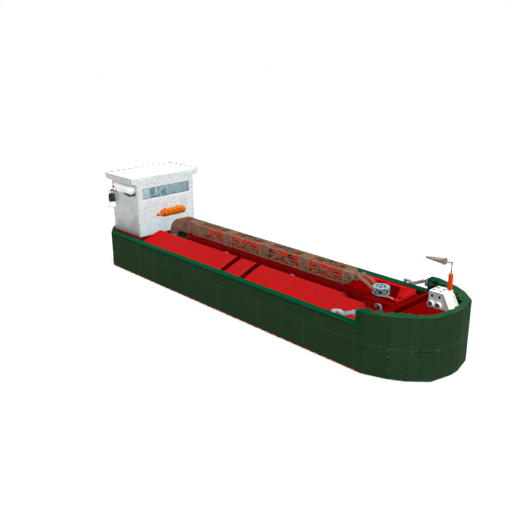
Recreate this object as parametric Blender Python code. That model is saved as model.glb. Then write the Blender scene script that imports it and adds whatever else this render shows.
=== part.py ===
"""Flat-bottomed harbour oil tanker, full size, in metres.

+X runs forward to the bow, +Y to port and +Z up. The origin is the middle of the flat bottom.
Lengths along the ship are given as stations: metres forward of the aft end of the straight side.
"""
import math

import bmesh
import bpy
from mathutils import Matrix, Vector

GAP = 0.0003              # left between two pieces that touch
CUT_PAST = 0.10           # how far a cutter stands out past the face that it opens
SIDES = ((-1, "starboard"), (1, "port"))

# Hull
STATION_ZERO = -12.39     # x of station 0
HALF_BEAM = 3.41
BOTTOM_THICK = 0.08
SIDE_TOP = 2.50
RIM_WIDTH = 0.50
MAIN_DECK = 2.20
AFT_DECK = 2.45
FORE_DECK = 2.50
PLATE_THICK = 0.06
STERN_BREAK = 2.62        # station where the aft deck steps down to the main deck
BOW_BREAK = 22.55         # station where the high bulwark starts
BULWARK_TOP = (3.30, 3.40)    # at its aft end and at the stem
BULWARK_WALL = 0.12
RAIL_WIDTH = 0.36
RAIL_DEPTH = 0.15
RAIL_LUG = 0.10           # how far a knee's head stands in from the rail
KNEE_DEPTH = 0.20
KNEE_HALF = 0.24          # half of a knee's length along the side
END_PLATE = 0.45          # depth of the plate that closes the bulwark's aft end
END_STEP = 0.01           # how far the plate stays back from the rail above it
PLAIN_LENGTH = 0.10       # least stretch between two knees
LONG_EDGE = 3             # which edge of the bow, from its aft end, has a knee at its middle too

# Half plan of the hull, from the transom's corner to the stem: station, distance from the centreline
HULL_HALF = (
    (-1.50, 2.25), (-0.85, 2.80), (0.00, HALF_BEAM),
    (23.05, HALF_BEAM), (24.30, 2.96), (25.10, 2.48), (25.97, 1.64), (26.28, 0.30),
)
# Half plan of the aft deck inside its rim: station, distance from the centreline
AFT_DECK_HALF = (
    (-1.28, 2.12), (-1.00, 2.52), (-0.20, HALF_BEAM - RIM_WIDTH), (STERN_BREAK, HALF_BEAM - RIM_WIDTH),
)

# Stern tunnel, propeller and rudder
TUNNEL = {"aft": -1.60, "fore": 0.70, "half": 0.80, "top": 1.35, "slope": 0.55}
SHAFT = {"z": 0.66, "tube": 0.15, "tube_fore": 1.00}
HUB = {"aft": -0.42, "fore": -0.02, "radius": 0.12, "blades": 0.15}
HUB_RINGS = ((0, 1), (0.25, 1), (0.35, 0.7), (0.40 - GAP, 0.3))   # distance aft, share of the radius
BLADE = {"chord": 0.30, "thick": 0.035, "count": 4}
BLADE_STATIONS = (        # distance from the shaft, share of the chord, pitch in degrees
    (0.07, 0.55, 62), (0.20, 0.85, 48), (0.34, 1.00, 36), (0.52, 0.55, 27),
)
RUDDER = {"stock": -0.98, "aft": -1.40, "fore": -0.82, "low": 0.16, "high": 1.22, "half": 0.06,
          "stock_radius": 0.07, "fat_aft": 0.10, "fat_fore": 0.04}
ENGINE_PIT = {"aft": 0.95, "fore": 2.35, "half": 0.90, "low": 0.45}
ENGINE = {"half": 0.45, "top": 1.75, "clear": 0.12}

# Tank covers: crowned lids on each side of the trench
COVER_RUNS = (            # name, aft and fore station
    ("aft", 3.35, 11.64), ("middle", 12.03, 13.42), ("fore", 13.80, 20.20),
)
COVER_PROFILE = (         # distance from the centreline, height
    (1.20, MAIN_DECK), (1.20, 2.78), (1.27, 2.92), (1.42, 2.98), (1.65, 2.93), (2.30, 2.70), (2.90, 2.47),
    (2.90, MAIN_DECK),
)
HATCH_FRAME = {"aft": 20.25, "fore": 21.90, "inner": 0.98, "outer": 2.90, "inner_z": 2.30, "outer_z": 2.45}
LOCKER = {"aft": 20.30, "fore": 21.72, "inner": 1.28, "outer": 2.86, "outer_z": 2.475}
LOCKER_RIDGE = (1.60, 2.89)   # distance from the centreline, height
FOOT_DEPTH = 0.05         # how far what is welded to the deck goes into it
VENT = {"stations": (4.70, 10.34, 16.20, 22.38), "side": -1.08, "radius": 0.06, "top": 2.80, "reach": 0.34,
        "bend": 0.09}
BREAKWATER = {"aft": 23.14, "fore": 23.22, "half": 2.80, "top": 2.80}

# Boom: pedestal arch, lattice, head, hose tubes and pump head
BOOM_HALF = 0.44
BOOM_Z = 3.39
ARCH = {"turn": 4.50, "turn_z": 2.55, "inner": 0.40, "outer": 1.28, "fore": 4.80, "steps": 8}
LUFF_PIN = 5.30           # station of the pin that the boom lifts about
CHEEK = {"inner": 0.31, "outer": 0.43, "round": 0.30, "edge": 0.06, "root": 0.15}
TRUNNION = {"radius": 0.090, "bore": 0.094, "reach": 0.47, "sides": 32}
TONGUE_ROUND = 0.40
TONGUE_ROOT = 0.15        # how far a tongue runs into the box that carries it
ROOT_BOX = 5.88           # station where the root becomes as wide as the boom
LATTICE = {"aft": 6.30, "fore": 19.30, "wall": 0.09, "chord": 0.10, "brace": 0.085}
BAY_STARTS = (6.55, 9.95, 13.35, 16.75)
BAY_LENGTH = 2.55
HEAD_BOX = 19.85          # station where the head narrows to its tongue
HEAD_PIN = 20.15
HEAD_PIN_Z = 3.56
HEAD_TONGUE = {"half": 0.13, "round": 0.17, "root": 0.20, "drop": 0.22}
HOSE = {"side": 0.25, "radius": 0.10, "eye": 0.165, "bore": 0.064, "pin": 0.060, "pin_reach": 0.36}
HOSE_ROUTE = ((20.15, 3.56), (20.42, 3.55), (20.70, 3.46), (21.00, 3.30), (21.20, 3.19))  # station, height
PUMP = {"aft": 21.20, "fore": 22.02, "half": 0.42, "low": 2.94, "high": 3.38, "chamfer": 0.09, "edge": 0.06}
PUMP_PORTS = ((21.42, 0.115), (21.77, 0.140))   # station and radius of the round ports in each side
PUMP_PORT_DEPTH = 0.20
PUMP_HOLES = ((21.37, -0.20), (21.37, 0.20), (21.61, -0.20), (21.61, 0.00), (21.61, 0.20), (21.85, -0.20),
              (21.85, 0.20))                    # station and side of the small holes in its top
PUMP_HOLE = {"radius": 0.045, "depth": 0.10}

# Swinging arms beside the bow
ARM_PIN = (22.40, 3.12)   # station, distance from the centreline
ARM_SEAT_TOP = 2.92
ARM_SEAT = {"radius": 0.10, "low": 2.78}
ARM_BRACKET = {"half": 0.08, "low": 2.80, "high": 2.90, "root": 22.57}
ARM_ROUTE = ((22.40, 3.12, 3.06), (22.25, 3.12, 3.02), (21.56, 3.10, 2.70), (21.22, 3.10, 2.79),
             (21.05, 3.14, 2.76))
ARM_RADIUS = 0.075
ARM_COLLAR = {"radius": 0.09, "top": 3.15}
ARM_BALL = {"station": 21.02, "side": 3.16, "z": 2.72, "radius": 0.11}

# Wheelhouse
HOUSE = {"aft": -0.95, "fore": 2.35, "half": 2.47, "wall": 0.12, "top": 6.31}
ROOF = {"aft": -1.07, "fore": 2.42, "half": 2.91, "top": 6.75, "bevel": 0.04}
BRIDGE_FLOOR = (4.00, 4.06)
STAIR_SIDE = 1.30         # the bridge floor ends here, so the stairs have the whole height beside the door
FRONT_WINDOW = {"half": 2.05, "low": 5.13, "high": 5.90}
AFT_WINDOW = {"half": 1.40, "low": 5.13, "high": 5.80}
SILL = {"low": 5.04, "reach": 0.07, "sunk": 0.05, "starboard": 2.08, "port": 2.39}
GLASS_THICK = 0.02
WINDOW_POST = {"sides": (-0.52, 0.34), "half": 0.05, "out": (-0.045, -0.005)}
DOOR = {"aft": 0.20, "fore": 0.98, "low": 2.60, "high": 4.42, "lap": 0.04, "thick": 0.05, "stand": 0.006}
DOOR_AXIS_OUT = 0.085     # hinge axis out from the wall
DOOR_HINGES = (2.95, 4.00)
HINGE = {"height": 0.09, "length": 0.13, "radius": 0.022, "clear": 0.006, "sunk": 0.01}
DOOR_LIGHT = {"aft": 0.38, "fore": 0.80, "low": 3.70, "high": 4.15, "thick": 0.016}
CONSOLE = {"half": 1.00}
CONSOLE_PROFILE = (       # station, height above the bridge floor
    (1.72, 0.00), (2.16, 0.00), (2.16, 0.96), (1.80, 0.84), (1.80, 0.70), (1.72, 0.60),
)
HELM = {"station": 1.56, "side": 0.17, "z": 5.22, "ring": 0.40, "bar": 0.028, "turns": 24, "sides": 8}
HELM_SPOKES = {"angles": (45, 135), "radius": 0.022, "short": 0.005}
HELM_HUB = {"radius": 0.06, "aft": 0.05}
HELM_POST = {"aft": 1.84, "fore": 1.94, "half": 0.09, "low": 4.86, "high": 5.32}
SEAT = {"station": 0.55, "side": 0.17}
SEAT_CUSHION = {"aft": -0.24, "fore": 0.24, "half": 0.25, "low": 4.62, "high": 4.74}
SEAT_BACK = {"aft": -0.28, "fore": -0.18, "half": 0.23, "low": 4.66, "high": 5.35}
SEAT_STEM = {"radius": 0.05, "top": 4.65, "foot": 0.22, "foot_high": 0.03}

# Gear on the wheelhouse walls
DRUM_RINGS = ((0, 0.70), (0.06, 0.93), (0.14, 1.0))       # distance in from an end, share of the radius
CAPSULE_RINGS = ((0, 0.35), (0.05, 0.72), (0.14, 1.0))
CANISTER = {"station": 2.65, "z": 3.95, "radius": 0.27, "starboard": -0.72, "port": 1.30}
CANISTER_NUB = {"radius": 0.10, "end": -1.12, "drop": 0.04, "sunk": 0.10}
CAPSULE = {"side": -2.78, "z": 5.84, "radius": 0.25, "aft": -0.12, "fore": 2.22}
CAPSULE_TIP = {"radius": 0.08, "length": 0.10, "sunk": 0.05}
SHELF = {"thick": 0.07, "half": 0.05, "sunk": 0.02, "past": 0.02}
CANISTER_SHELVES = (-0.25, 0.82)
CAPSULE_SHELVES = (0.35, 1.72)
LAMP = {"station": -0.50, "side": -2.84, "radius": 0.21, "low": 4.68, "high": 5.22, "sides": 20}
LAMP_ARM = {"half": 0.03, "low": 5.48, "high": 5.54, "root": 5.17}
LAMP_PLATE = {"half": 0.12, "thick": 0.03, "low": 5.37, "high": 5.65}
LAMP_HOOD_RINGS = ((0, 0.21), (0.12, 0.23), (0.38 - GAP, 0.32))    # distance down, radius
LAMP_HOLLOW_RINGS = ((0.08, 0.19), (0.58, 0.38))

# Bow housing, mast and windsock
BOW_HOUSE = {"aft": 23.68, "fore_low": 25.00, "fore_top": 24.55, "starboard": 1.31, "port": 2.24, "top": 3.37}
BOW_FITTINGS = ((23.87, 2.69), (24.31, 2.69))   # station, height
FITTING_RINGS = ((-0.05, 0.17), (0.10, 0.17), (0.13, 0.136))       # distance out from the housing, radius
HOUSING_HATCH = {"stations": (23.88, 24.32), "half": 0.075, "low": 3.035, "high": 3.225, "depth": 0.08}
HOUSING_PORTS = {"stations": (23.83, 24.22), "sides": (1.56, 1.92), "radius": 0.075, "depth": 0.05}
MAST = {"station": 24.42, "side": 2.11, "radius": 0.125, "top": 4.27, "wire": 0.03, "wire_sunk": 0.10}
SOCK = {"axis_z": 4.86, "mouth": 24.00, "length": 1.14, "mouth_radius": 0.185, "tail_radius": 0.05,
        "sides": 20, "hoop": 0.03, "arm": 0.02, "hub": 0.045, "hub_low": 0.10, "hub_high": 0.06}

# Colour (red, green, blue), roughness, metallic
LOOKS = {
    "hull_green": ((0.016, 0.040, 0.018), 0.55, 0.0),
    "bottom_red": ((0.25, 0.03, 0.025), 0.60, 0.0),
    "deck_red": ((0.17, 0.002, 0.002), 0.65, 0.0),
    "cover_red": ((0.55, 0.013, 0.015), 0.45, 0.0),
    "boom_brown": ((0.165, 0.090, 0.060), 0.60, 0.2),
    "fitting_grey": ((0.30, 0.37, 0.37), 0.45, 0.6),
    "wall_white": ((0.76, 0.76, 0.76), 0.55, 0.0),
    "glass": ((0.27, 0.36, 0.38), 0.10, 0.0),
    "console_teal": ((0.09, 0.17, 0.19), 0.50, 0.0),
    "rescue_orange": ((1.00, 0.22, 0.0), 0.45, 0.0),
    "mast_orange": ((0.90, 0.06, 0.005), 0.45, 0.0),
    "lamp_black": ((0.01, 0.01, 0.01), 0.50, 0.0),
    "sock_cloth": ((0.45, 0.44, 0.40), 0.90, 0.0),
    "seat_dark": ((0.02, 0.02, 0.025), 0.70, 0.0),
    "bronze": ((0.42, 0.26, 0.10), 0.35, 0.9),
    "engine_paint": ((0.10, 0.16, 0.14), 0.50, 0.3),
}


def at(station):
    return STATION_ZERO + station


# Solids


def loft(loops):
    """A closed solid through loops of equal length, with its two ends capped."""
    mesh = bmesh.new()
    rings = [[mesh.verts.new(point) for point in loop] for loop in loops]
    count = len(rings[0])
    for near, far in zip(rings, rings[1:]):
        for i in range(count):
            j = (i + 1) % count
            mesh.faces.new((near[i], near[j], far[j], far[i]))
    mesh.faces.new(rings[0][::-1])
    mesh.faces.new(rings[-1])
    bmesh.ops.recalc_face_normals(mesh, faces=mesh.faces)
    return mesh


def slab(plan, low, high):
    """A plan of (x, y) points raised from one height to another."""
    return loft([[(x, y, z) for x, y in plan] for z in (low, high)])


def along_x(profile, aft, fore):
    """A profile of (y, z) points drawn out from one x to another."""
    return loft([[(x, y, z) for y, z in profile] for x in (aft, fore)])


def along_y(profile, low, high):
    """A profile of (x, z) points drawn out from one y to another."""
    return loft([[(x, y, z) for x, z in profile] for y in (low, high)])


def box(x, y, z):
    return slab([(x[0], y[0]), (x[1], y[0]), (x[1], y[1]), (x[0], y[1])], z[0], z[1])


def circle(centre, direction, radius, sides):
    """Points round a circle that faces along a direction, with a point straight above or beside."""
    forward = Vector(direction).normalized()
    side = forward.cross(Vector((0, 0, 1)))
    if side.length < 0.01:
        side = Vector((0, 1, 0))
    side.normalize()
    up = side.cross(forward)
    turns = [2 * math.pi * i / sides for i in range(sides)]
    return [Vector(centre) + radius * (math.cos(a) * up + math.sin(a) * side) for a in turns]


def turned(start, direction, rings, sides=24):
    """A solid of revolution: rings are (distance along the direction, radius)."""
    forward = Vector(direction).normalized()
    return loft([circle(Vector(start) + d * forward, forward, radius, sides) for d, radius in rings])


def rod(start, end, radius, sides=16):
    run = Vector(end) - Vector(start)
    return turned(start, run, ((0, radius), (run.length, radius)), sides)


def pipe(route, radius, sides=12):
    """A round bar along a route of points, mitred at each bend."""
    points = [Vector(point) for point in route]
    loops = []
    for i, point in enumerate(points):
        before = points[max(i - 1, 0)]
        after = points[min(i + 1, len(points) - 1)]
        loops.append(circle(point, after - before, radius, sides))
    return loft(loops)


def together(solids):
    """Several solids that don't touch, as one mesh."""
    mesh = bmesh.new()
    for solid in solids:
        part = bpy.data.meshes.new("part")
        solid.to_mesh(part)
        solid.free()
        mesh.from_mesh(part)
        bpy.data.meshes.remove(part)
    return mesh


# Plans


def closed_plan(half):
    """A half plan of (station, distance) mirrored into a closed plan of (x, y)."""
    starboard = [(at(s), -d) for s, d in half]
    port = [(x, -y) for x, y in reversed(starboard)]
    return starboard + port


def inset(plan, width):
    """A convex plan with every side moved in by a width."""
    moved = []
    count = len(plan)
    for i in range(count):
        corner = Vector(plan[i])
        along_in = (corner - Vector(plan[i - 1])).normalized()
        along_out = (Vector(plan[(i + 1) % count]) - corner).normalized()
        normal_in = Vector((-along_in.y, along_in.x))
        normal_out = Vector((-along_out.y, along_out.x))
        bisector = (normal_in + normal_out).normalized()
        moved.append(tuple(corner + bisector * (width / bisector.dot(normal_in))))
    return moved


def between(plan, low, high):
    """The piece of a convex plan that lies between two x values."""
    for limit, sign in ((low, 1), (high, -1)):
        kept = []
        for i, point in enumerate(plan):
            last = plan[i - 1]
            inside = sign * (point[0] - limit) >= 0
            was_inside = sign * (last[0] - limit) >= 0
            if inside != was_inside:
                share = (limit - last[0]) / (point[0] - last[0])
                kept.append((limit, last[1] + share * (point[1] - last[1])))
            if inside:
                kept.append(point)
        plan = kept
    return plan


# Objects


def look(name):
    colour, roughness, metallic = LOOKS[name]
    material = bpy.data.materials.new(name)
    material.use_nodes = True
    shader = material.node_tree.nodes["Principled BSDF"]
    shader.inputs["Base Color"].default_value = (*colour, 1)
    shader.inputs["Roughness"].default_value = roughness
    shader.inputs["Metallic"].default_value = metallic
    return material


def add(name, solid, look_name, axis=None, smooth=False):
    """One named piece. A moving piece hangs on the empty that marks its axis."""
    if axis:
        solid.transform(Matrix.Translation(-axis.location))
    mesh = bpy.data.meshes.new(name)
    solid.to_mesh(mesh)
    solid.free()
    if smooth:
        mesh.shade_smooth()
        mesh.set_sharp_from_angle(angle=math.radians(35))
    piece = bpy.data.objects.new(name, mesh)
    bpy.context.scene.collection.objects.link(piece)
    piece.data.materials.append(look(look_name))
    piece.parent = axis
    return piece


def axis_mark(name, place, parent=None):
    """An empty on a joint's axis. Its location is kept in the world's frame."""
    empty = bpy.data.objects.new(name, None)
    bpy.context.scene.collection.objects.link(empty)
    empty.location = place
    if parent:
        empty.parent = parent
        empty.matrix_parent_inverse = Matrix.Translation(-parent.location)
    return empty


def shape(piece, solid, operation, label):
    """Cuts a piece with a solid or welds the solid to it, with a hidden guide object."""
    guide = add(f"{piece.name}_{label}", solid, "fitting_grey")
    guide.parent = piece.parent
    if piece.parent:
        guide.data.transform(Matrix.Translation(-piece.parent.location))
    guide.hide_render = True
    guide.display_type = "WIRE"
    modifier = piece.modifiers.new(label, "BOOLEAN")
    modifier.operation = operation
    modifier.solver = "EXACT"
    modifier.object = guide


def cut(piece, solid, label):
    shape(piece, solid, "DIFFERENCE", label)


def weld(piece, solid, label):
    shape(piece, solid, "UNION", label)


# Hull


def build_hull():
    plan = closed_plan(HULL_HALF)
    inner_side = HALF_BEAM - RIM_WIDTH
    bottom = add("hull_bottom", slab(plan, 0, BOTTOM_THICK), "bottom_red")
    cut(bottom, tunnel_solid(), "tunnel")

    low = BOTTOM_THICK + GAP
    stern_plan = between(plan, at(HULL_HALF[0][0]) - 1, at(STERN_BREAK))
    stern = add("hull_stern", slab(stern_plan, low, SIDE_TOP), "hull_green")
    recess = closed_plan(AFT_DECK_HALF + ((STERN_BREAK + 1, inner_side),))
    cut(stern, slab(recess, AFT_DECK - PLATE_THICK, SIDE_TOP + 1), "deck_recess")
    cut(stern, tunnel_solid(), "tunnel")
    pit = box((at(ENGINE_PIT["aft"]), at(ENGINE_PIT["fore"])), (-ENGINE_PIT["half"], ENGINE_PIT["half"]),
              (ENGINE_PIT["low"], SIDE_TOP + 1))
    cut(stern, pit, "engine_pit")
    tube_fore, tube_aft = at(SHAFT["tube_fore"]), at(HUB["fore"]) + GAP
    tube = rod((tube_fore, 0, SHAFT["z"]), (tube_aft, 0, SHAFT["z"]), SHAFT["tube"], 24)
    weld(stern, tube, "stern_tube")
    add("aft_deck", slab(inset(closed_plan(AFT_DECK_HALF), GAP), AFT_DECK - PLATE_THICK + GAP, AFT_DECK),
        "deck_red")

    middle = (at(STERN_BREAK) + GAP, at(BOW_BREAK) - GAP)
    for side, word in SIDES:
        across = sorted((side * HALF_BEAM, side * (inner_side + GAP)))
        add(f"hull_side_{word}", box(middle, across, (low, SIDE_TOP)), "hull_green")
    block = add("hull_cargo_block", box(middle, (-inner_side, inner_side), (low, MAIN_DECK)), "deck_red")
    weld(block, together(tank_vents()), "vents")

    bow_plan = between(plan, at(BOW_BREAK), at(HULL_HALF[-1][0]) + 1)
    bow = add("hull_bow", slab(bow_plan, low, FORE_DECK), "hull_green")
    deck_plan = inset(bow_plan, PLATE_THICK)
    cut(bow, slab(deck_plan, FORE_DECK - PLATE_THICK, FORE_DECK + 1), "deck_recess")
    add("fore_deck", slab(inset(deck_plan, GAP), FORE_DECK - PLATE_THICK + GAP, FORE_DECK), "deck_red")
    bulwark = add("bow_bulwark", bulwark_solid(plan), "hull_green")
    for i, solid in enumerate(arm_seats()):
        weld(bulwark, solid, f"arm_seat_{i}")
    add("breakwater", breakwater_solid(), "deck_red")


def tunnel_solid():
    """The space for the propeller: open aft and below, with a sloping fore end."""
    aft, fore = at(TUNNEL["aft"]), at(TUNNEL["fore"])
    slope_foot, slope_head = TUNNEL["top"] - TUNNEL["slope"], fore - TUNNEL["slope"]
    profile = ((aft, -1), (fore, -1), (fore, slope_foot), (slope_head, TUNNEL["top"]), (aft, TUNNEL["top"]))
    return along_y(profile, -TUNNEL["half"], TUNNEL["half"])


def bulwark_stations(length, has_middle_knee):
    """Places along one edge of the bow as shares of its length, each with its share of a knee's depth."""
    reach = KNEE_HALF / length
    middle = [(0.5 - reach, 0), (0.5, 1), (0.5 + reach, 0)] if has_middle_knee else []
    return [(0, 1), (reach, 0)] + middle + [(1 - reach, 0)]


def bulwark_solid(plan):
    """The high bow bulwark: a wall with a rail on top, knees at its corners and a plate at each end."""
    path = [i for i, point in enumerate(plan) if point[0] > at(BOW_BREAK)]
    levels = (("wall", 0.0), ("rail", RAIL_WIDTH), ("lug", RAIL_WIDTH + RAIL_LUG),
              ("thin", BULWARK_WALL), ("knee", KNEE_DEPTH),
              ("end_rail", END_PLATE), ("end_plate", END_PLATE - END_STEP))
    lines = {}
    for label, depth in levels:
        moved = inset(plan, depth)
        corners = [Vector(moved[i]) for i in path]
        starboard_end = Vector((at(BOW_BREAK), corners[0].y))
        port_end = Vector((at(BOW_BREAK), corners[-1].y))
        lines[label] = [starboard_end] + corners + [port_end]
    loops = []
    edges = len(lines["wall"]) - 1
    for i in range(edges):
        length = (lines["wall"][i + 1] - lines["wall"][i]).length
        if length < 2 * KNEE_HALF + PLAIN_LENGTH:
            stations = [(0, 1), (0.5, 1)]
        else:
            stations = bulwark_stations(length, i in (LONG_EDGE, edges - 1 - LONG_EDGE))
        for share, knee in stations:
            is_end = i == 0 and share == 0
            loops.append(bulwark_loop(lines, i, share, knee, is_end))
    loops.append(bulwark_loop(lines, edges - 1, 1, 1, True))
    return loft(loops)


def bulwark_loop(lines, i, share, knee, is_end):
    """The bulwark's section at one place: outer wall, rail, wall's inner face."""
    place = {label: line[i].lerp(line[i + 1], share) for label, line in lines.items()}
    if is_end:
        rail, inner = place["end_rail"], place["end_plate"]
    else:
        rail = place["rail"].lerp(place["lug"], knee)
        inner = place["thin"].lerp(place["knee"], knee)
    section = ((place["wall"], None), (place["wall"], 0), (rail, 0), (rail, RAIL_DEPTH),
               (inner, RAIL_DEPTH), (inner, None))
    return [(point.x, point.y, FORE_DECK + GAP if down is None else rail_height(point.x) - down)
            for point, down in section]


def rail_height(x):
    """The rail rises in a straight line towards the stem."""
    aft, stem = at(BOW_BREAK), at(HULL_HALF[-1][0])
    low, high = BULWARK_TOP
    return low + (high - low) * (x - aft) / (stem - aft)


def arm_seats():
    """What each swinging arm turns on: a bracket on the bulwark's aft end with a round seat."""
    solids = []
    for side in (-1, 1):
        x, y = at(ARM_PIN[0]), side * ARM_PIN[1]
        half, low, high = ARM_BRACKET["half"], ARM_BRACKET["low"], ARM_BRACKET["high"]
        bracket = box((x, at(ARM_BRACKET["root"])), (y - half, y + half), (low, high))
        seat = rod((x, y, ARM_SEAT["low"]), (x, y, ARM_SEAT_TOP), ARM_SEAT["radius"], 24)
        solids += [bracket, seat]
    return solids


def breakwater_solid():
    """A low plate across the fore deck."""
    aft, fore, top = at(BREAKWATER["aft"]), at(BREAKWATER["fore"]), BREAKWATER["top"]
    half, low = BREAKWATER["half"], FORE_DECK + GAP
    return box((aft, fore), (-half, half), (low, top))


# Cargo deck


def build_cargo_deck():
    for side, word in SIDES:
        profile = [(side * y, z + (GAP if z == MAIN_DECK else 0)) for y, z in COVER_PROFILE]
        for name, aft, fore in COVER_RUNS:
            add(f"tank_cover_{word}_{name}", along_x(profile, at(aft), at(fore)), "cover_red")
        frame = along_x(hatch_profile(side), at(HATCH_FRAME["aft"]), at(HATCH_FRAME["fore"]))
        add(f"hatch_frame_{word}", frame, "cover_red")
        locker = along_x(locker_profile(side), at(LOCKER["aft"]), at(LOCKER["fore"]))
        add(f"side_locker_{word}", locker, "cover_red")


def tank_vents():
    """The bent vents along the trench's starboard edge, welded to the main deck."""
    return [gooseneck(at(station), VENT["side"]) for station in VENT["stations"]]


def hatch_height(y):
    """Height of the hatch frame's sloping top at a distance from the centreline."""
    share = (y - HATCH_FRAME["inner"]) / (HATCH_FRAME["outer"] - HATCH_FRAME["inner"])
    return HATCH_FRAME["inner_z"] + share * (HATCH_FRAME["outer_z"] - HATCH_FRAME["inner_z"])


def hatch_profile(side):
    inner, outer = HATCH_FRAME["inner"], HATCH_FRAME["outer"]
    low = MAIN_DECK + GAP
    profile = ((inner, low), (outer, low), (outer, HATCH_FRAME["outer_z"]), (inner, HATCH_FRAME["inner_z"]))
    return flip_yz(profile, side)


def locker_profile(side):
    """A wedge on the hatch frame, steep towards the centreline and sloping down towards the ship's side."""
    inner, outer = LOCKER["inner"], LOCKER["outer"]
    profile = ((inner, hatch_height(inner) + GAP), (outer, hatch_height(outer) + GAP),
               (outer, LOCKER["outer_z"]), LOCKER_RIDGE)
    return flip_yz(profile, side)


def flip_yz(profile, side):
    return [(side * y, z) for y, z in profile]


def gooseneck(x, y):
    """A tank vent: a standpipe that bends aft and ends in a mouth that looks down."""
    top, bend, end = VENT["top"], VENT["bend"], x - VENT["reach"]
    part = 0.3 * bend
    route = ((x, MAIN_DECK - FOOT_DEPTH), (x, top - bend), (x - part, top - part), (x - bend, top),
             (end + bend, top), (end + part, top - part), (end, top - bend), (end, top - 2 * bend))
    return pipe([(along, y, z) for along, z in route], VENT["radius"])


# Boom


def round_end(centre, radius, start, end, steps):
    """Points (x, z) on an arc between two angles in degrees."""
    angles = [math.radians(start + (end - start) * i / steps) for i in range(steps + 1)]
    return [(centre[0] + radius * math.cos(a), centre[1] + radius * math.sin(a)) for a in angles]


def build_boom():
    pedestal = add("boom_pedestal", along_y(arch_profile(), -BOOM_HALF, BOOM_HALF), "boom_brown")
    for side, word in SIDES:
        across = sorted((side * CHEEK["inner"], side * CHEEK["outer"]))
        weld(pedestal, along_y(cheek_profile(), *across), f"cheek_{word}")
    cut(pedestal, cross_rod(LUFF_PIN, BOOM_Z, 1, TRUNNION["bore"], TRUNNION["sides"]), "bore")

    square = ((-BOOM_HALF, BOOM_HALF), (BOOM_Z - BOOM_HALF, BOOM_Z + BOOM_HALF))
    luff = axis_mark("boom_axis", (at(LUFF_PIN), 0, BOOM_Z))
    tongue = along_y(tongue_profile(), -CHEEK["inner"] + GAP, CHEEK["inner"] - GAP)
    root = add("boom_root", tongue, "boom_brown", luff)
    weld(root, box((at(ROOT_BOX), at(LATTICE["aft"]) - GAP), *square), "box")
    trunnion = cross_rod(LUFF_PIN, BOOM_Z, TRUNNION["reach"], TRUNNION["radius"], TRUNNION["sides"])
    weld(root, trunnion, "trunnion")

    lattice = add("boom_lattice", lattice_solid(), "boom_brown", luff)
    cut(lattice, lattice_gaps("y"), "side_gaps")
    cut(lattice, lattice_gaps("z"), "top_gaps")

    head = add("boom_head", box((at(LATTICE["fore"]) + GAP, at(HEAD_BOX)), *square), "boom_brown", luff)
    weld(head, along_y(head_tongue_profile(), -HEAD_TONGUE["half"], HEAD_TONGUE["half"]), "tongue")
    weld(head, cross_rod(HEAD_PIN, HEAD_PIN_Z, HOSE["pin_reach"], HOSE["pin"]), "pin")
    build_pump_head(luff)


def cross_rod(station, z, reach, radius, sides=24):
    """A rod that lies across the ship, as far to port as to starboard."""
    return rod((at(station), -reach, z), (at(station), reach, z), radius, sides)


def arch_profile():
    """Side view of the pedestal: a leg from the deck that turns forward through a quarter circle."""
    centre = (at(ARCH["turn"]), ARCH["turn_z"])
    outer = round_end(centre, ARCH["outer"], 180, 90, ARCH["steps"])
    inner = round_end(centre, ARCH["inner"], 90, 180, ARCH["steps"])
    low = MAIN_DECK + GAP
    return ([(centre[0] - ARCH["outer"], low)] + outer
            + [(at(ARCH["fore"]), centre[1] + ARCH["outer"]), (at(ARCH["fore"]), centre[1] + ARCH["inner"])]
            + inner + [(centre[0] - ARCH["inner"], low)])


def cheek_profile():
    """Side view of one cheek of the pedestal's fork."""
    pin = (at(LUFF_PIN), BOOM_Z)
    aft = at(ARCH["fore"]) - CHEEK["root"]
    half = BOOM_HALF - CHEEK["edge"]
    return [(aft, BOOM_Z - half)] + round_end(pin, CHEEK["round"], -75, 75, 8) + [(aft, BOOM_Z + half)]


def tongue_profile():
    """Side view of the boom's root between the cheeks."""
    pin = (at(LUFF_PIN), BOOM_Z)
    fore = at(ROOT_BOX) + TONGUE_ROOT
    return [(fore, BOOM_Z + TONGUE_ROUND)] + round_end(pin, TONGUE_ROUND, 90, 270, 12) \
        + [(fore, BOOM_Z - TONGUE_ROUND)]


def head_tongue_profile():
    """Side view of the tongue that carries the pin of the hose tubes."""
    pin = (at(HEAD_PIN), HEAD_PIN_Z)
    aft = at(HEAD_BOX) - HEAD_TONGUE["root"]
    radius = HEAD_TONGUE["round"]
    return ([(aft, HEAD_PIN_Z - radius - HEAD_TONGUE["drop"])] + round_end(pin, radius, -80, 90, 8)
            + [(aft, HEAD_PIN_Z + radius)])


def lattice_solid():
    """A square tube, open at both ends."""
    wall = LATTICE["wall"]
    aft, fore = at(LATTICE["aft"]), at(LATTICE["fore"])
    mesh = bmesh.new()
    loops = []
    for half in (BOOM_HALF, BOOM_HALF - wall):
        corners = ((-half, -half), (half, -half), (half, half), (-half, half))
        loops.append([[mesh.verts.new((x, y, BOOM_Z + z)) for y, z in corners] for x in (aft, fore)])
    (outer_aft, outer_fore), (inner_aft, inner_fore) = loops
    for i in range(4):
        j = (i + 1) % 4
        for ring in ((outer_aft, outer_fore), (outer_fore, inner_fore), (inner_fore, inner_aft),
                     (inner_aft, outer_aft)):
            mesh.faces.new((ring[0][i], ring[0][j], ring[1][j], ring[1][i]))
    bmesh.ops.recalc_face_normals(mesh, faces=mesh.faces)
    return mesh


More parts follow.
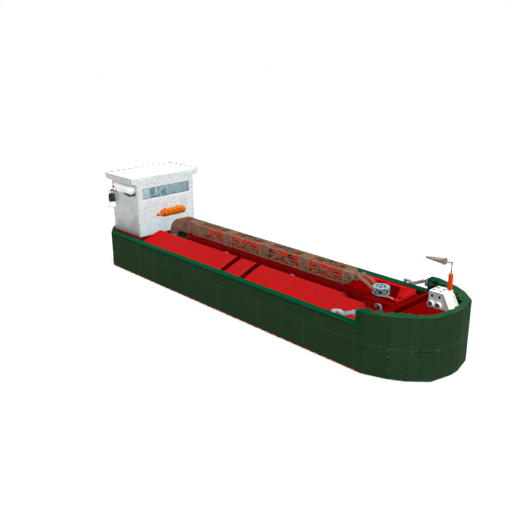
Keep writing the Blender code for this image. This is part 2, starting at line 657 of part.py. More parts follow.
def lattice_gaps(through):
    """The triangles between a bay's crossed braces, cut right through along one axis."""
    height = BOOM_HALF - LATTICE["chord"]
    half = BAY_LENGTH / 2
    rise = height / half
    offset = LATTICE["brace"] / 2 * math.hypot(1, rise)
    base = (height - offset) / rise
    triangles = (
        ((-base, height), (base, height), (0, offset)),
        ((-base, -height), (0, -offset), (base, -height)),
        ((half, -height + offset), (half, height - offset), (offset / rise, 0)),
        ((-half, -height + offset), (-offset / rise, 0), (-half, height - offset)),
    )
    reach = BOOM_HALF + 0.1
    cutters = []
    for start in BAY_STARTS:
        middle = at(start) + half
        for triangle in triangles:
            if through == "y":
                cutters.append(along_y([(middle + u, BOOM_Z + v) for u, v in triangle], -reach, reach))
            else:
                cutters.append(slab([(middle + u, v) for u, v in triangle], BOOM_Z - reach, BOOM_Z + reach))
    return together(cutters)


def build_pump_head(luff):
    """Two hose tubes that pivot on the boom's head, and the pump head that they carry."""
    x, z = at(HEAD_PIN), HEAD_PIN_Z
    knuckle = axis_mark("knuckle_axis", (x, 0, z), luff)
    for side, word in SIDES:
        y = side * HOSE["side"]
        route = [(at(station), y, height) for station, height in HOSE_ROUTE]
        tube = add(f"hose_tube_{word}", pipe(route, HOSE["radius"], 16), "boom_brown", knuckle, smooth=True)
        inner = side * (HEAD_TONGUE["half"] + GAP)
        outer = y + side * HOSE["radius"]
        weld(tube, rod((x, inner, z), (x, outer, z), HOSE["eye"], 24), "eye")
        cut(tube, rod((x, 0, z), (x, side, z), HOSE["bore"], 24), "bore")
        face = at(PUMP["aft"]) - GAP
        trim = box((face, face + 1), (y - HOSE["eye"], y + HOSE["eye"]), (PUMP["low"], PUMP["high"]))
        cut(tube, trim, "trim")

    aft, fore, half, edge = at(PUMP["aft"]), at(PUMP["fore"]), PUMP["half"], PUMP["chamfer"]
    plan = ((aft, -half + edge), (aft + edge, -half), (fore - edge, -half), (fore, -half + edge),
            (fore, half - edge), (fore - edge, half), (aft + edge, half), (aft, half - edge))
    low, high, rise = PUMP["low"], PUMP["high"], PUMP["edge"]
    levels = ((low, rise), (low + rise, 0), (high - rise, 0), (high, rise))
    body = loft([[(x, y, z) for x, y in inset(plan, depth)] for z, depth in levels])
    pump = add("pump_head", body, "fitting_grey", knuckle)
    middle = (low + high) / 2
    ports = []
    for station, radius in PUMP_PORTS:
        for side in (-1, 1):
            mouth, end = side * (half + CUT_PAST), side * (half - PUMP_PORT_DEPTH)
            ports.append(rod((at(station), mouth, middle), (at(station), end, middle), radius, 20))
    cut(pump, together(ports), "ports")
    end, mouth = high - PUMP_HOLE["depth"], high + CUT_PAST
    holes = [rod((at(station), y, end), (at(station), y, mouth), PUMP_HOLE["radius"], 12)
             for station, y in PUMP_HOLES]
    cut(pump, together(holes), "holes")


# Swinging arms


def build_arms():
    for side, word in SIDES:
        x, y = at(ARM_PIN[0]), side * ARM_PIN[1]
        axis = axis_mark(f"arm_axis_{word}", (x, y, ARM_SEAT_TOP))
        route = [(at(s), side * d, z) for s, d, z in ARM_ROUTE]
        arm = add(f"swing_arm_{word}", pipe(route, ARM_RADIUS, 12), "fitting_grey", axis, smooth=True)
        collar = rod((x, y, ARM_SEAT_TOP + GAP), (x, y, ARM_COLLAR["top"]), ARM_COLLAR["radius"], 24)
        weld(arm, collar, "collar")
        centre = Vector((at(ARM_BALL["station"]), side * ARM_BALL["side"], ARM_BALL["z"]))
        ball = bmesh.new()
        bmesh.ops.create_uvsphere(ball, u_segments=16, v_segments=10, radius=ARM_BALL["radius"],
                                  matrix=Matrix.Translation(centre))
        weld(arm, ball, "ball")


# Wheelhouse


def build_wheelhouse():
    aft, fore, half = at(HOUSE["aft"]), at(HOUSE["fore"]), HOUSE["half"]
    wall, low, top = HOUSE["wall"], AFT_DECK + GAP, HOUSE["top"]
    build_front_wall(fore, half, (low, top))
    inside = half - wall - GAP
    back = add("wheelhouse_aft", box((aft, aft + wall), (-inside, inside), (low, top)), "wall_white")
    cut(back, window_solid(aft + wall / 2, AFT_WINDOW), "window")
    for side, word in SIDES:
        across = sorted((side * half, side * (half - wall)))
        panel = add(f"wheelhouse_{word}", box((aft, fore - wall - GAP), across, (low, top)), "wall_white")
        if side < 0:
            weld(panel, together(capsule_shelves()), "shelves")
        else:
            door_x, door_z = (at(DOOR["aft"]), at(DOOR["fore"])), (DOOR["low"], DOOR["high"])
            cut(panel, box(door_x, (half - 1, half + 1), door_z), "doorway")
            for i, z in enumerate(DOOR_HINGES):
                for solid, label in zip(wall_hinge(z), ("lug", "knuckle")):
                    weld(panel, solid, f"{label}_{i}")

    roof_plan = ((at(ROOF["aft"]), at(ROOF["fore"])), (-ROOF["half"], ROOF["half"]))
    roof = add("wheelhouse_roof", box(*roof_plan, (top + GAP, ROOF["top"])), "wall_white")
    bevel = roof.modifiers.new("edge", "BEVEL")
    bevel.width = ROOF["bevel"]
    bevel.segments = 2
    floor = box((aft + wall + GAP, fore - wall - GAP), (-inside, STAIR_SIDE), BRIDGE_FLOOR)
    add("bridge_floor", floor, "console_teal")
    add("window_glass_front", pane(fore - wall / 2, FRONT_WINDOW), "glass")
    add("window_glass_aft", pane(aft + wall / 2, AFT_WINDOW), "glass")
    build_door()
    build_helm()


def build_front_wall(fore, half, height):
    """The front wall with its window, sill, window posts and the canister's shelves."""
    front = add("wheelhouse_front", box((fore - HOUSE["wall"], fore), (-half, half), height), "wall_white")
    sill = box((fore - SILL["sunk"], fore + SILL["reach"]), (-SILL["starboard"], SILL["port"]),
               (SILL["low"], FRONT_WINDOW["low"]))
    weld(front, sill, "sill")
    cut(front, window_solid(fore - HOUSE["wall"] / 2, FRONT_WINDOW), "window")
    out, post_half, sunk = WINDOW_POST["out"], WINDOW_POST["half"], SILL["sunk"]
    posts = [box((fore + out[0], fore + out[1]), (y - post_half, y + post_half),
                 (FRONT_WINDOW["low"] - sunk, FRONT_WINDOW["high"] + sunk)) for y in WINDOW_POST["sides"]]
    weld(front, together(posts), "posts")
    weld(front, together(canister_shelves()), "shelves")


def window_solid(x, window):
    return box((x - 0.5, x + 0.5), (-window["half"], window["half"]), (window["low"], window["high"]))


def pane(x, window):
    half = window["half"] - GAP
    return box((x - GLASS_THICK / 2, x + GLASS_THICK / 2), (-half, half),
               (window["low"] + GAP, window["high"] - GAP))


def door_axis():
    return at(DOOR["fore"]) + DOOR["lap"], HOUSE["half"] + DOOR_AXIS_OUT


def wall_hinge(z):
    """The wall's half of a hinge: a lug and a knuckle below height z."""
    x, y = door_axis()
    low = z - HINGE["height"]
    lug = box((x + HINGE["clear"], x + HINGE["length"]), (HOUSE["half"] - HINGE["sunk"], y), (low, z))
    return lug, rod((x, y, low), (x, y, z), HINGE["radius"])


def door_hinge(z):
    """The door's half of a hinge, which stands on the wall's."""
    x, y = door_axis()
    low, high = z + GAP, z + HINGE["height"]
    face = HOUSE["half"] + DOOR["stand"] + DOOR["thick"]
    lug = box((x - HINGE["length"], x - HINGE["clear"]), (face - HINGE["sunk"], y), (low, high))
    return lug, rod((x, y, low), (x, y, high), HINGE["radius"])


def build_door():
    x, y = door_axis()
    axis = axis_mark("door_axis", (x, y, DOOR["low"]))
    inner = HOUSE["half"] + DOOR["stand"]
    outer = inner + DOOR["thick"]
    lap = DOOR["lap"]
    panel = box((at(DOOR["aft"]) - lap, x), (inner, outer), (DOOR["low"] - lap, DOOR["high"] + lap))
    leaf = add("wheelhouse_door", panel, "wall_white", axis)
    aft, fore = at(DOOR_LIGHT["aft"]), at(DOOR_LIGHT["fore"])
    low, high = DOOR_LIGHT["low"], DOOR_LIGHT["high"]
    cut(leaf, box((aft, fore), (inner - 1, outer + 1), (low, high)), "light")
    middle, half = (inner + outer) / 2, DOOR_LIGHT["thick"] / 2
    glass = box((aft + GAP, fore - GAP), (middle - half, middle + half), (low + GAP, high - GAP))
    add("door_glass", glass, "glass", axis)
    for i, z in enumerate(DOOR_HINGES):
        for solid, word in zip(door_hinge(z), ("lug", "knuckle")):
            weld(leaf, solid, f"{word}_{i}")


def build_helm():
    floor = BRIDGE_FLOOR[1] + GAP
    profile = [(at(station), floor + height) for station, height in CONSOLE_PROFILE]
    console = add("helm_console", along_y(profile, -CONSOLE["half"], CONSOLE["half"]), "console_teal")
    x, y, z = at(HELM["station"]), HELM["side"], HELM["z"]
    post_aft, post_half = at(HELM_POST["aft"]), HELM_POST["half"]
    post = box((post_aft, at(HELM_POST["fore"])), (y - post_half, y + post_half),
               (HELM_POST["low"], HELM_POST["high"]))
    weld(console, post, "post")

    wheel = add("helm_wheel", wheel_rim((x, y, z)), "seat_dark", smooth=True)
    for degrees in HELM_SPOKES["angles"]:
        a = math.radians(degrees)
        reach = Vector((0, math.cos(a), math.sin(a))) * (HELM["ring"] - HELM_SPOKES["short"])
        centre = Vector((x, y, z))
        weld(wheel, rod(centre - reach, centre + reach, HELM_SPOKES["radius"], 10), f"spoke_{degrees}")
    weld(wheel, rod((x - HELM_HUB["aft"], y, z), (post_aft - GAP, y, z), HELM_HUB["radius"]), "hub")

    x, y = at(SEAT["station"]), SEAT["side"]
    seat = add("helm_seat", seat_box(x, y, SEAT_CUSHION), "seat_dark")
    weld(seat, seat_box(x, y, SEAT_BACK), "back")
    weld(seat, rod((x, y, floor), (x, y, SEAT_STEM["top"]), SEAT_STEM["radius"]), "stem")
    weld(seat, rod((x, y, floor), (x, y, floor + SEAT_STEM["foot_high"]), SEAT_STEM["foot"], 24), "foot")


def wheel_rim(centre):
    """The helm wheel's rim: a ring that stands across the ship."""
    ring = bmesh.new()
    rows = []
    for i in range(HELM["turns"]):
        a = 2 * math.pi * i / HELM["turns"]
        out = Vector((0, math.cos(a), math.sin(a)))
        middle = Vector(centre) + HELM["ring"] * out
        row = []
        for k in range(HELM["sides"]):
            b = 2 * math.pi * k / HELM["sides"]
            around = math.cos(b) * out + math.sin(b) * Vector((1, 0, 0))
            row.append(ring.verts.new(middle + HELM["bar"] * around))
        rows.append(row)
    for i, row in enumerate(rows):
        after = rows[(i + 1) % len(rows)]
        for k in range(HELM["sides"]):
            m = (k + 1) % HELM["sides"]
            ring.faces.new((row[k], row[m], after[m], after[k]))
    bmesh.ops.recalc_face_normals(ring, faces=ring.faces)
    return ring


def seat_box(x, y, part):
    return box((x + part["aft"], x + part["fore"]), (y - part["half"], y + part["half"]),
               (part["low"], part["high"]))


# Gear on the wheelhouse walls


def drum(start, direction, length, radius, end_rings):
    """A closed drum with the same rounded form at both ends."""
    near = [(distance, share * radius) for distance, share in end_rings]
    far = [(length - distance, share * radius) for distance, share in reversed(end_rings)]
    return turned(start, direction, near + far)


def build_wall_gear():
    x, z = at(CANISTER["station"]), CANISTER["z"]
    start, end = CANISTER["starboard"], CANISTER["port"]
    body = drum((x, start, z), (0, 1, 0), end - start, CANISTER["radius"], DRUM_RINGS)
    canister = add("rescue_canister", body, "rescue_orange", smooth=True)
    nub_z = z - CANISTER_NUB["drop"]
    nub_end, nub_root = CANISTER_NUB["end"], start + CANISTER_NUB["sunk"]
    nub = rod((x, nub_end, nub_z), (x, nub_root, nub_z), CANISTER_NUB["radius"])
    weld(canister, nub, "nub")

    y, z, aft = CAPSULE["side"], CAPSULE["z"], at(CAPSULE["aft"])
    body = drum((aft, y, z), (1, 0, 0), at(CAPSULE["fore"]) - aft, CAPSULE["radius"], CAPSULE_RINGS)
    capsule = add("raft_capsule", body, "wall_white", smooth=True)
    tip = rod((aft - CAPSULE_TIP["length"], y, z), (aft + CAPSULE_TIP["sunk"], y, z), CAPSULE_TIP["radius"])
    weld(capsule, tip, "tip")
    build_floodlight()


def build_floodlight():
    """A lamp that hangs from a bracket on the starboard wall, with its hood below it."""
    wall = -HOUSE["half"] - GAP
    x, y, sides = at(LAMP["station"]), LAMP["side"], LAMP["sides"]
    body = rod((x, y, LAMP["low"]), (x, y, LAMP["high"]), LAMP["radius"], sides)
    lamp = add("floodlight", body, "lamp_black", smooth=True)
    half = LAMP_ARM["half"]
    weld(lamp, rod((x, y, LAMP_ARM["root"]), (x, y, LAMP_ARM["high"] - 0.01), half, 10), "stem")
    arm_y = (y - half, wall - LAMP_PLATE["thick"] / 2)
    arm = box((x - half, x + half), arm_y, (LAMP_ARM["low"], LAMP_ARM["high"]))
    weld(lamp, arm, "arm")
    half = LAMP_PLATE["half"]
    plate_y = (wall - LAMP_PLATE["thick"], wall)
    plate = box((x - half, x + half), plate_y, (LAMP_PLATE["low"], LAMP_PLATE["high"]))
    weld(lamp, plate, "plate")
    hood = turned((x, y, LAMP["low"] - GAP), (0, 0, -1), LAMP_HOOD_RINGS, sides)
    hood_piece = add("floodlight_hood", hood, "wall_white", smooth=True)
    cut(hood_piece, turned((x, y, LAMP["low"]), (0, 0, -1), LAMP_HOLLOW_RINGS, sides), "hollow")


def canister_shelves():
    """Two shelves on the front wall that the rescue canister lies on."""
    top, half = CANISTER["z"] - CANISTER["radius"] - GAP, SHELF["half"]
    along = (at(HOUSE["fore"]) - SHELF["sunk"], at(CANISTER["station"]) + SHELF["past"])
    return [box(along, (y - half, y + half), (top - SHELF["thick"], top)) for y in CANISTER_SHELVES]


def capsule_shelves():
    """Two shelves on the starboard wall that the raft capsule lies on."""
    top, half = CAPSULE["z"] - CAPSULE["radius"] - GAP, SHELF["half"]
    across = (CAPSULE["side"] - SHELF["past"], -HOUSE["half"] + SHELF["sunk"])
    return [box((at(s) - half, at(s) + half), across, (top - SHELF["thick"], top)) for s in CAPSULE_SHELVES]


# Bow housing, mast and windsock


def build_bow_gear():
    low, top = FORE_DECK + GAP, BOW_HOUSE["top"]
    starboard, port = BOW_HOUSE["starboard"], BOW_HOUSE["port"]
    aft = at(BOW_HOUSE["aft"])
    profile = ((aft, low), (at(BOW_HOUSE["fore_low"]), low), (at(BOW_HOUSE["fore_top"]), top), (aft, top))
    housing = add("bow_housing", along_y(profile, starboard, port), "wall_white")
    fittings = [turned((at(station), starboard, z), (0, -1, 0), FITTING_RINGS, 20)
                for station, z in BOW_FITTINGS]
    weld(housing, together(fittings), "fittings")
    half, across = HOUSING_HATCH["half"], (starboard - CUT_PAST, starboard + HOUSING_HATCH["depth"])
    height = (HOUSING_HATCH["low"], HOUSING_HATCH["high"])
    hatches = [box((at(station) - half, at(station) + half), across, height)
               for station in HOUSING_HATCH["stations"]]
    cut(housing, together(hatches), "hatches")
    end, mouth = top - HOUSING_PORTS["depth"], top + CUT_PAST
    ports = [rod((at(station), y, end), (at(station), y, mouth), HOUSING_PORTS["radius"])
             for station in HOUSING_PORTS["stations"] for y in HOUSING_PORTS["sides"]]
    cut(housing, together(ports), "ports")

    x, y, z = at(MAST["station"]), MAST["side"], SOCK["axis_z"]
    pole = rod((x, y, top + GAP), (x, y, MAST["top"]), MAST["radius"], 20)
    mast = add("signal_mast", pole, "mast_orange", smooth=True)
    hub_low = z - SOCK["hub_low"]
    weld(mast, rod((x, y, MAST["top"] - MAST["wire_sunk"]), (x, y, hub_low), MAST["wire"], 12), "wire")
    axis = axis_mark("windsock_axis", (x, y, z))
    mouth, hoop, radius = at(SOCK["mouth"]), SOCK["hoop"], SOCK["mouth_radius"]
    hub = add("windsock_frame", rod((x, y, hub_low + GAP), (x, y, z + SOCK["hub_high"]), SOCK["hub"], 12),
              "fitting_grey", axis)
    weld(hub, rod((x, y, z), (mouth + hoop / 2, y, z), SOCK["arm"], 10), "arm")
    weld(hub, rod((mouth, y, z), (mouth + hoop, y, z), radius, SOCK["sides"]), "hoop")
    rings = ((GAP, radius), (SOCK["length"] + GAP, SOCK["tail_radius"]))
    sock = turned((mouth, y, z), (-1, 0, 0), rings, SOCK["sides"])
    add("windsock", sock, "sock_cloth", axis, smooth=True)


# Propeller, rudder and engine


def build_drive():
    z = SHAFT["z"]
    axis = axis_mark("propeller_axis", (at(HUB["aft"]), 0, z))
    rings = [(distance, share * HUB["radius"]) for distance, share in HUB_RINGS]
    propeller = add("propeller", turned((at(HUB["fore"]) - GAP, 0, z), (-1, 0, 0), rings), "bronze", axis,
                    smooth=True)
    middle = Vector((at(HUB["fore"]) - HUB["blades"], 0, z))
    blades = [blade(middle, 360 * i / BLADE["count"]) for i in range(BLADE["count"])]
    weld(propeller, together(blades), "blades")

    x, high, half = at(RUDDER["stock"]), RUDDER["high"], RUDDER["half"]
    rudder_axis = axis_mark("rudder_axis", (x, 0, high))
    fat_aft, fat_fore = x - RUDDER["fat_aft"], x + RUDDER["fat_fore"]
    plan = ((at(RUDDER["aft"]), 0), (fat_aft, -half), (fat_fore, -half), (at(RUDDER["fore"]), 0),
            (fat_fore, half), (fat_aft, half))
    rudder = add("rudder", slab(plan, RUDDER["low"], high), "hull_green", rudder_axis)
    stock = rod((x, 0, high - RUDDER["fat_aft"]), (x, 0, TUNNEL["top"] - GAP), RUDDER["stock_radius"])
    weld(rudder, stock, "stock")

    clear, half = ENGINE["clear"], ENGINE["half"]
    along = (at(ENGINE_PIT["aft"]) + clear, at(ENGINE_PIT["fore"]) - clear)
    add("engine_block", box(along, (-half, half), (ENGINE_PIT["low"] + GAP, ENGINE["top"])), "engine_paint")


def blade(centre, degrees):
    """One pitched blade: its chord turns from steep at the root to flat at the tip."""
    turn = Matrix.Rotation(math.radians(degrees), 3, "X")
    loops = []
    for radius, share, pitch in BLADE_STATIONS:
        chord, thick, angle = BLADE["chord"] * share, BLADE["thick"], math.radians(pitch)
        along = Vector((math.sin(angle), math.cos(angle), 0)) * chord / 2
        across = Vector((math.cos(angle), -math.sin(angle), 0)) * thick / 2
        corners = (-along, across, along, -across)
        loops.append([centre + turn @ (corner + Vector((0, 0, radius))) for corner in corners])
    return loft(loops)


def main():
    for old in list(bpy.data.objects):
        bpy.data.objects.remove(old, do_unlink=True)
    build_hull()
    build_cargo_deck()
    build_boom()
    build_arms()
    build_wheelhouse()
    build_wall_gear()
    build_bow_gear()
    build_drive()


main()
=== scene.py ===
import math
import bpy
from mathutils import Matrix, Vector


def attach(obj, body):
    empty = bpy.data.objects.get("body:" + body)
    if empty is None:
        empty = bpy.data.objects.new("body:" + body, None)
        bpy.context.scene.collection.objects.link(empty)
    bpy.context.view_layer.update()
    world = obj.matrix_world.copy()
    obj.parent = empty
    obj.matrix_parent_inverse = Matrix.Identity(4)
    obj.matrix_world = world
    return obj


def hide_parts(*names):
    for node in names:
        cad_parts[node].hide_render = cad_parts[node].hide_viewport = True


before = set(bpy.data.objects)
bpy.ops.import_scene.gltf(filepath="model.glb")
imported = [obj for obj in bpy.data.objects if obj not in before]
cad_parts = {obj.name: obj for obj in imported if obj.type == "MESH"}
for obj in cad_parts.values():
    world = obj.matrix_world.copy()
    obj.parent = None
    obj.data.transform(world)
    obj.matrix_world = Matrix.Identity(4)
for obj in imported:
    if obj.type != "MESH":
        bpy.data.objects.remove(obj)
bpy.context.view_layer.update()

print("tanker: packed model loaded,", len(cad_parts), "nodes")

stationZero = -12.39          # lengths along the ship are stations, forward of the aft end of its straight side
sides = {"starboard": -1, "port": 1}
upward, ahead, toPort = (0, 0, 1), (1, 0, 0), (0, 1, 0)


def at(station):
    return stationZero + station


# Shader tools: a wire is one socket, and sums of wires add their own Math nodes

def tint(red, green, blue):
    # a screen colour, 0 to 255, as the linear colour that a shader takes
    shares = [value / 255 for value in (red, green, blue)]
    return tuple(s / 12.92 if s <= 0.04045 else ((s + 0.055) / 1.055) ** 2.4 for s in shares) + (1.0,)


def mathNode(operation, reflected=False):
    def combine(wire, other):
        values = [other, wire] if reflected else [wire, other]
        return wire.paint.node("ShaderNodeMath", {"operation": operation}, values)
    return combine


class Wire:
    def __init__(self, paint, socket):
        self.paint, self.socket = paint, socket

    __add__, __radd__ = mathNode("ADD"), mathNode("ADD", True)
    __sub__, __rsub__ = mathNode("SUBTRACT"), mathNode("SUBTRACT", True)
    __mul__, __rmul__ = mathNode("MULTIPLY"), mathNode("MULTIPLY", True)
    __mod__, __gt__, __lt__ = mathNode("FLOORED_MODULO"), mathNode("GREATER_THAN"), mathNode("LESS_THAN")
    __and__, __or__ = mathNode("MINIMUM"), mathNode("MAXIMUM")      # both masks, and either mask

    def __abs__(self):
        return self.paint.node("ShaderNodeMath", {"operation": "ABSOLUTE"}, [self])


class Paint:
    # one material: colours are laid over its base by masks, and what doesn't vary is set on the shader
    def __init__(self, name, base, **constants):
        self.material = bpy.data.materials.new(name)
        self.material.use_nodes = True
        self.tree = self.material.node_tree
        self.shader = self.tree.nodes["Principled BSDF"]
        for socket, value in constants.items():
            self.shader.inputs[socket.replace("_", " ")].default_value = value
        self.place, self.colour = self.node("ShaderNodeTexCoord", out="Object"), base
        self.x, self.y, self.z = self.split(self.place)
        self.facingX, self.facingY, self.facingZ = self.split(
            self.node("ShaderNodeNewGeometry", out="Normal"))

    def node(self, kind, settings={}, values=(), out=0):
        made = self.tree.nodes.new(kind)
        for key, value in settings.items():
            setattr(made, key, value)
        for key, value in values.items() if isinstance(values, dict) else enumerate(values):
            if isinstance(value, Wire):
                self.tree.links.new(value.socket, made.inputs[key])
            else:
                made.inputs[key].default_value = value
        return Wire(self, made.outputs[out])

    def split(self, vector):
        made = self.tree.nodes.new("ShaderNodeSeparateXYZ")
        self.tree.links.new(vector.socket, made.inputs[0])
        return [Wire(self, output) for output in made.outputs]

    def mix(self, share, *colours):
        first, second = [tint(*c) if isinstance(c, tuple) and len(c) == 3 else c for c in colours]
        return self.node("ShaderNodeMix", {"data_type": "RGBA"}, {0: share, 6: first, 7: second}, 2)

    def lay(self, share, colour):
        self.colour = self.mix(share, self.colour, colour)

    def noise(self, scale, detail=3.0, stretch=(1, 1, 1), shift=(0, 0, 0)):
        place = self.node("ShaderNodeMapping", {},
                          {"Vector": self.place, "Scale": stretch, "Location": shift})
        return self.node("ShaderNodeTexNoise", {}, {"Vector": place, "Scale": scale, "Detail": detail})

    def ramp(self, value, low, high):
        # 0 below low, 1 above high
        return self.node("ShaderNodeMapRange", {}, {"Value": value, "From Min": low, "From Max": high})

    def spots(self, value, middle, soft):
        return self.ramp(value, middle - soft, middle + soft)

    def band(self, value, middle, half):
        # 1 within a distance of a line
        return abs(value - middle) < half

    def lines(self, value, spans):
        # 1 within the half width of any of many lines
        found, *others = [self.band(value, middle, half) for middle, half in spans]
        for line in others:
            found = found | line
        return found

    def finish(self, roughness=None, relief=None, distance=1.0, strength=1.0, **wires):
        if relief:
            wires["Normal"] = self.node("ShaderNodeBump", {}, {"Height": relief, "Distance": distance,
                                                               "Strength": strength})
        for socket, wire in {"Base_Color": self.colour, "Roughness": roughness, **wires}.items():
            if wire:
                self.tree.links.new(wire.socket, self.shader.inputs[socket.replace("_", " ")])
        return self.material


# Paints

hullLook = {
    "side": (36, 59, 36), "sideDarkAndShade": (32, 54, 33), "rim": (0, 75, 46), "rimWorn": (4, 78, 50),
    "bowRim": (26, 80, 52), "bowWorn": (48, 86, 52), "corner": (2, 62, 26), "innerLit": (56, 92, 54),
    "inner": (10, 32, 12), "innerPatch": (0, 84, 6), "seam": (60, 100, 64), "dark": (6, 16, 8),
    "underRimShadow": (6, 42, 26), "rivet": (220, 50, 32), "deckLip": (92, 2, 2),
    "seamZ": 1.67, "stemZ": 1.62, "seamHalf": 0.014, "sideFace": 3.40, "break": 22.55,
    "upperSeams": (-0.85, 1.10, 3.35, 5.17, 6.88, 9.56, 12.09, 14.75, 17.38, 19.96, 22.52),
    "lowerSeams": (0.00, 1.67, 3.40, 5.16, 8.63, 12.13, 15.60, 19.09, 22.58),
    "bowCorners": ((23.05, 0.030), (24.30, 0.026), (25.10, 0.020), (25.54, 0.016), (25.97, 0.007)),
    "rivets": (0.60, 1.23, 1.60), "stemRivets": ((25.24, 0.028), (26.04, 0.014)),
}


def hullPaint():
    look, half = hullLook, hullLook["seamHalf"]
    paint = Paint("hullPaint", look["side"], Specular_IOR_Level=0.02)
    x, y, z, fine = paint.x, paint.y, paint.z, paint.noise(9.0, 5)
    up = paint.facingZ > 0.6
    upright, bow, onSide = 1 - up, x > at(look["break"] + 0.4), abs(y) > look["sideFace"]
    paint.lay(paint.spots(paint.noise(0.7, 4, (1, 1, 1.6)), 0.5, 0.22) * 0.7, look["sideDarkAndShade"])

    # plate seams: the long one, then upright ones above and below it, all broken into short dashes
    dashes, level, sparse = z % 0.21 < 0.13, x % 0.30 < 0.18, z % 0.335 < 0.085
    above = z > look["seamZ"]
    upper, lower = [paint.lines(x, [(at(s), half) for s in look[row]])
                    for row in ("upperSeams", "lowerSeams")]
    sideSeams = (upper * above + lower * (1 - above)) * onSide
    longSeam = paint.band(z, look["seamZ"], half) & level
    paint.lay((sideSeams & dashes | longSeam) * upright * 0.8, look["seam"])
    bowSeams = paint.lines(x, [(at(s), width) for s, width in look["bowCorners"]])
    stemSeam = paint.band(z, look["stemZ"], 0.022) & paint.band(x, at(25.66), 0.38)
    paint.lay((bowSeams & sparse | stemSeam) * bow * upright * 0.9, look["dark"])
    rivets = paint.band(x, at(24.31), 0.018) & paint.lines(z, [(rise, 0.018) for rise in look["rivets"]])
    stemRivets = paint.lines(x, [(at(s), width) for s, width in look["stemRivets"]])
    rivets = rivets | paint.band(z, look["stemZ"], 0.018) & stemRivets
    paint.lay(rivets * (y < 0) * bow * upright * 0.85, look["rivet"])
    # painted shadow: a dark band just under the rim along the straight sides
    underRimShadow = paint.band(z, 2.42, 0.05) & (x < at(look["break"]))
    paint.lay(underRimShadow * onSide * upright * 0.8, look["underRimShadow"])
    corner = ((x < at(23.03)) & (z > 2.5)) * (1 - paint.ramp(x, at(22.75), at(23.25)))
    paint.lay(corner * upright * (x > at(22.4)) * 0.7, look["corner"])
    # painted shade: faces turned ahead are darkened a fifth with the dark seam colour
    paint.lay(paint.ramp(paint.facingX, 0.6, 1.0) * 0.2, look["dark"])

    # tops of the rims, then the inner faces of the high bulwark, dark in painted shade with a ragged upper band on
    # port in painted light, and the lip beside the fore deck
    rim = paint.mix(paint.spots(fine, 0.60, 0.08) * 0.5, look["rim"], look["rimWorn"])
    bowRim = paint.mix(paint.spots(paint.noise(1.3, 3), 0.50, 0.12), look["bowRim"], look["bowWorn"])
    paint.lay(up, paint.mix(paint.ramp(x, at(22.9), at(24.1)), rim, bowRim))
    inward = (paint.facingX * (x - at(22.5)) + paint.facingY * y < -0.05) * (x > at(22.6)) * upright
    patches = paint.spots(paint.noise(1.4, 2, (1, 1, 0.7)), 0.55, 0.02)
    lit = paint.ramp(z + paint.noise(2.2, 2) * 0.4, 3.02, 3.10) * ((y > 0) & (x < at(24.6)))
    inner = paint.mix(patches, look["inner"], look["innerPatch"])
    paint.lay(inward, paint.mix(lit, inner, look["innerLit"]))
    # painted shade: faces turned aft near the bow are darkened
    paint.lay((paint.facingX < -0.9) & (x > at(22.3)), look["sideDarkAndShade"])
    lip = (abs(y) < 2.95) & (z < 2.52) & paint.band(x, at(22.8), 0.5)
    paint.lay(lip * (z > 2.0), look["deckLip"])

    relief = paint.noise(1.1, 2, (1, 1, 1.4)) * 0.010 + fine * 0.0012 - (sideSeams | longSeam) * 0.003
    return paint.finish(0.55 + fine * 0.22, relief, 1.0, 0.7)


def bottomPaint():
    paint = Paint("bottomPaint", (178, 36, 28), Specular_IOR_Level=0.1)
    fine = paint.noise(14.0, 4)
    paint.lay(paint.spots(paint.noise(0.8, 5), 0.5, 0.2), (140, 26, 22))
    paint.lay(paint.spots(fine, 0.66, 0.05) * 0.6, (90, 70, 52))
    # the edge carries the side's green down to a worn, broken line of red
    dashes = (paint.x % 0.62 < 0.36) & (paint.x < at(22.8))
    edge = ((paint.z > 0.05) | (1 - dashes)) & (abs(paint.facingZ) < 0.5)
    paint.lay(dashes * 0.9, (236, 66, 52))
    paint.lay(edge, hullLook["side"])
    return paint.finish(0.5 + fine * 0.3, fine, 0.004)


deckLook = {
    "top": (116, 1, 1), "worn": (106, 2, 2), "fore": (128, 1, 1), "upright": (84, 1, 1), "trench": (90, 1, 1),
    "scuff": (124, 20, 16), "joint": (60, 1, 1),
}


def deckPaint():
    look = deckLook
    paint = Paint("deckPaint", look["top"], Specular_IOR_Level=0.02)
    x, middle, grain = paint.x, paint.noise(5.0, 5), paint.noise(60.0, 2)
    paint.lay(paint.spots(paint.noise(0.9, 5), 0.52, 0.16) * 0.7, look["worn"])
    paint.lay(((x > at(22.5)) & (x < at(23.15))) * 0.9, look["fore"])
    # painted shade: the trench floor between the covers is darker
    paint.lay(((paint.z < 2.3) & (x < at(20.2))) * 0.9, look["trench"])
    paint.lay(paint.spots(middle, 0.70, 0.05) * 0.3, look["scuff"])
    # painted shade: upright faces of the deck are darker than its tops
    upright = abs(paint.facingZ) < 0.3
    paint.lay(upright * 0.9, look["upright"])
    plates = paint.band(x % 1.75, 0.875, 0.008) | paint.band(paint.y, 0, 0.006)
    paint.lay(plates * (1 - upright) * 0.35, look["joint"])
    return paint.finish(0.65 + middle * 0.25, grain * 0.0016 + middle * 0.002 - plates * 0.002)


coverLook = {
    "middle": (173, 23, 24), "rim": (200, 1, 8), "aft": (184, 1, 1), "inner": (104, 1, 1),
    "portInnerLit": (246, 1, 10),
    "end": (80, 1, 1), "seam": (206, 58, 56), "seamStep": 1.72, "worn": (164, 22, 22),
    "foreEndLit": (206, 28, 28),
    "speck": (130, 36, 28), "mouths": (20.15, 20.45),
}


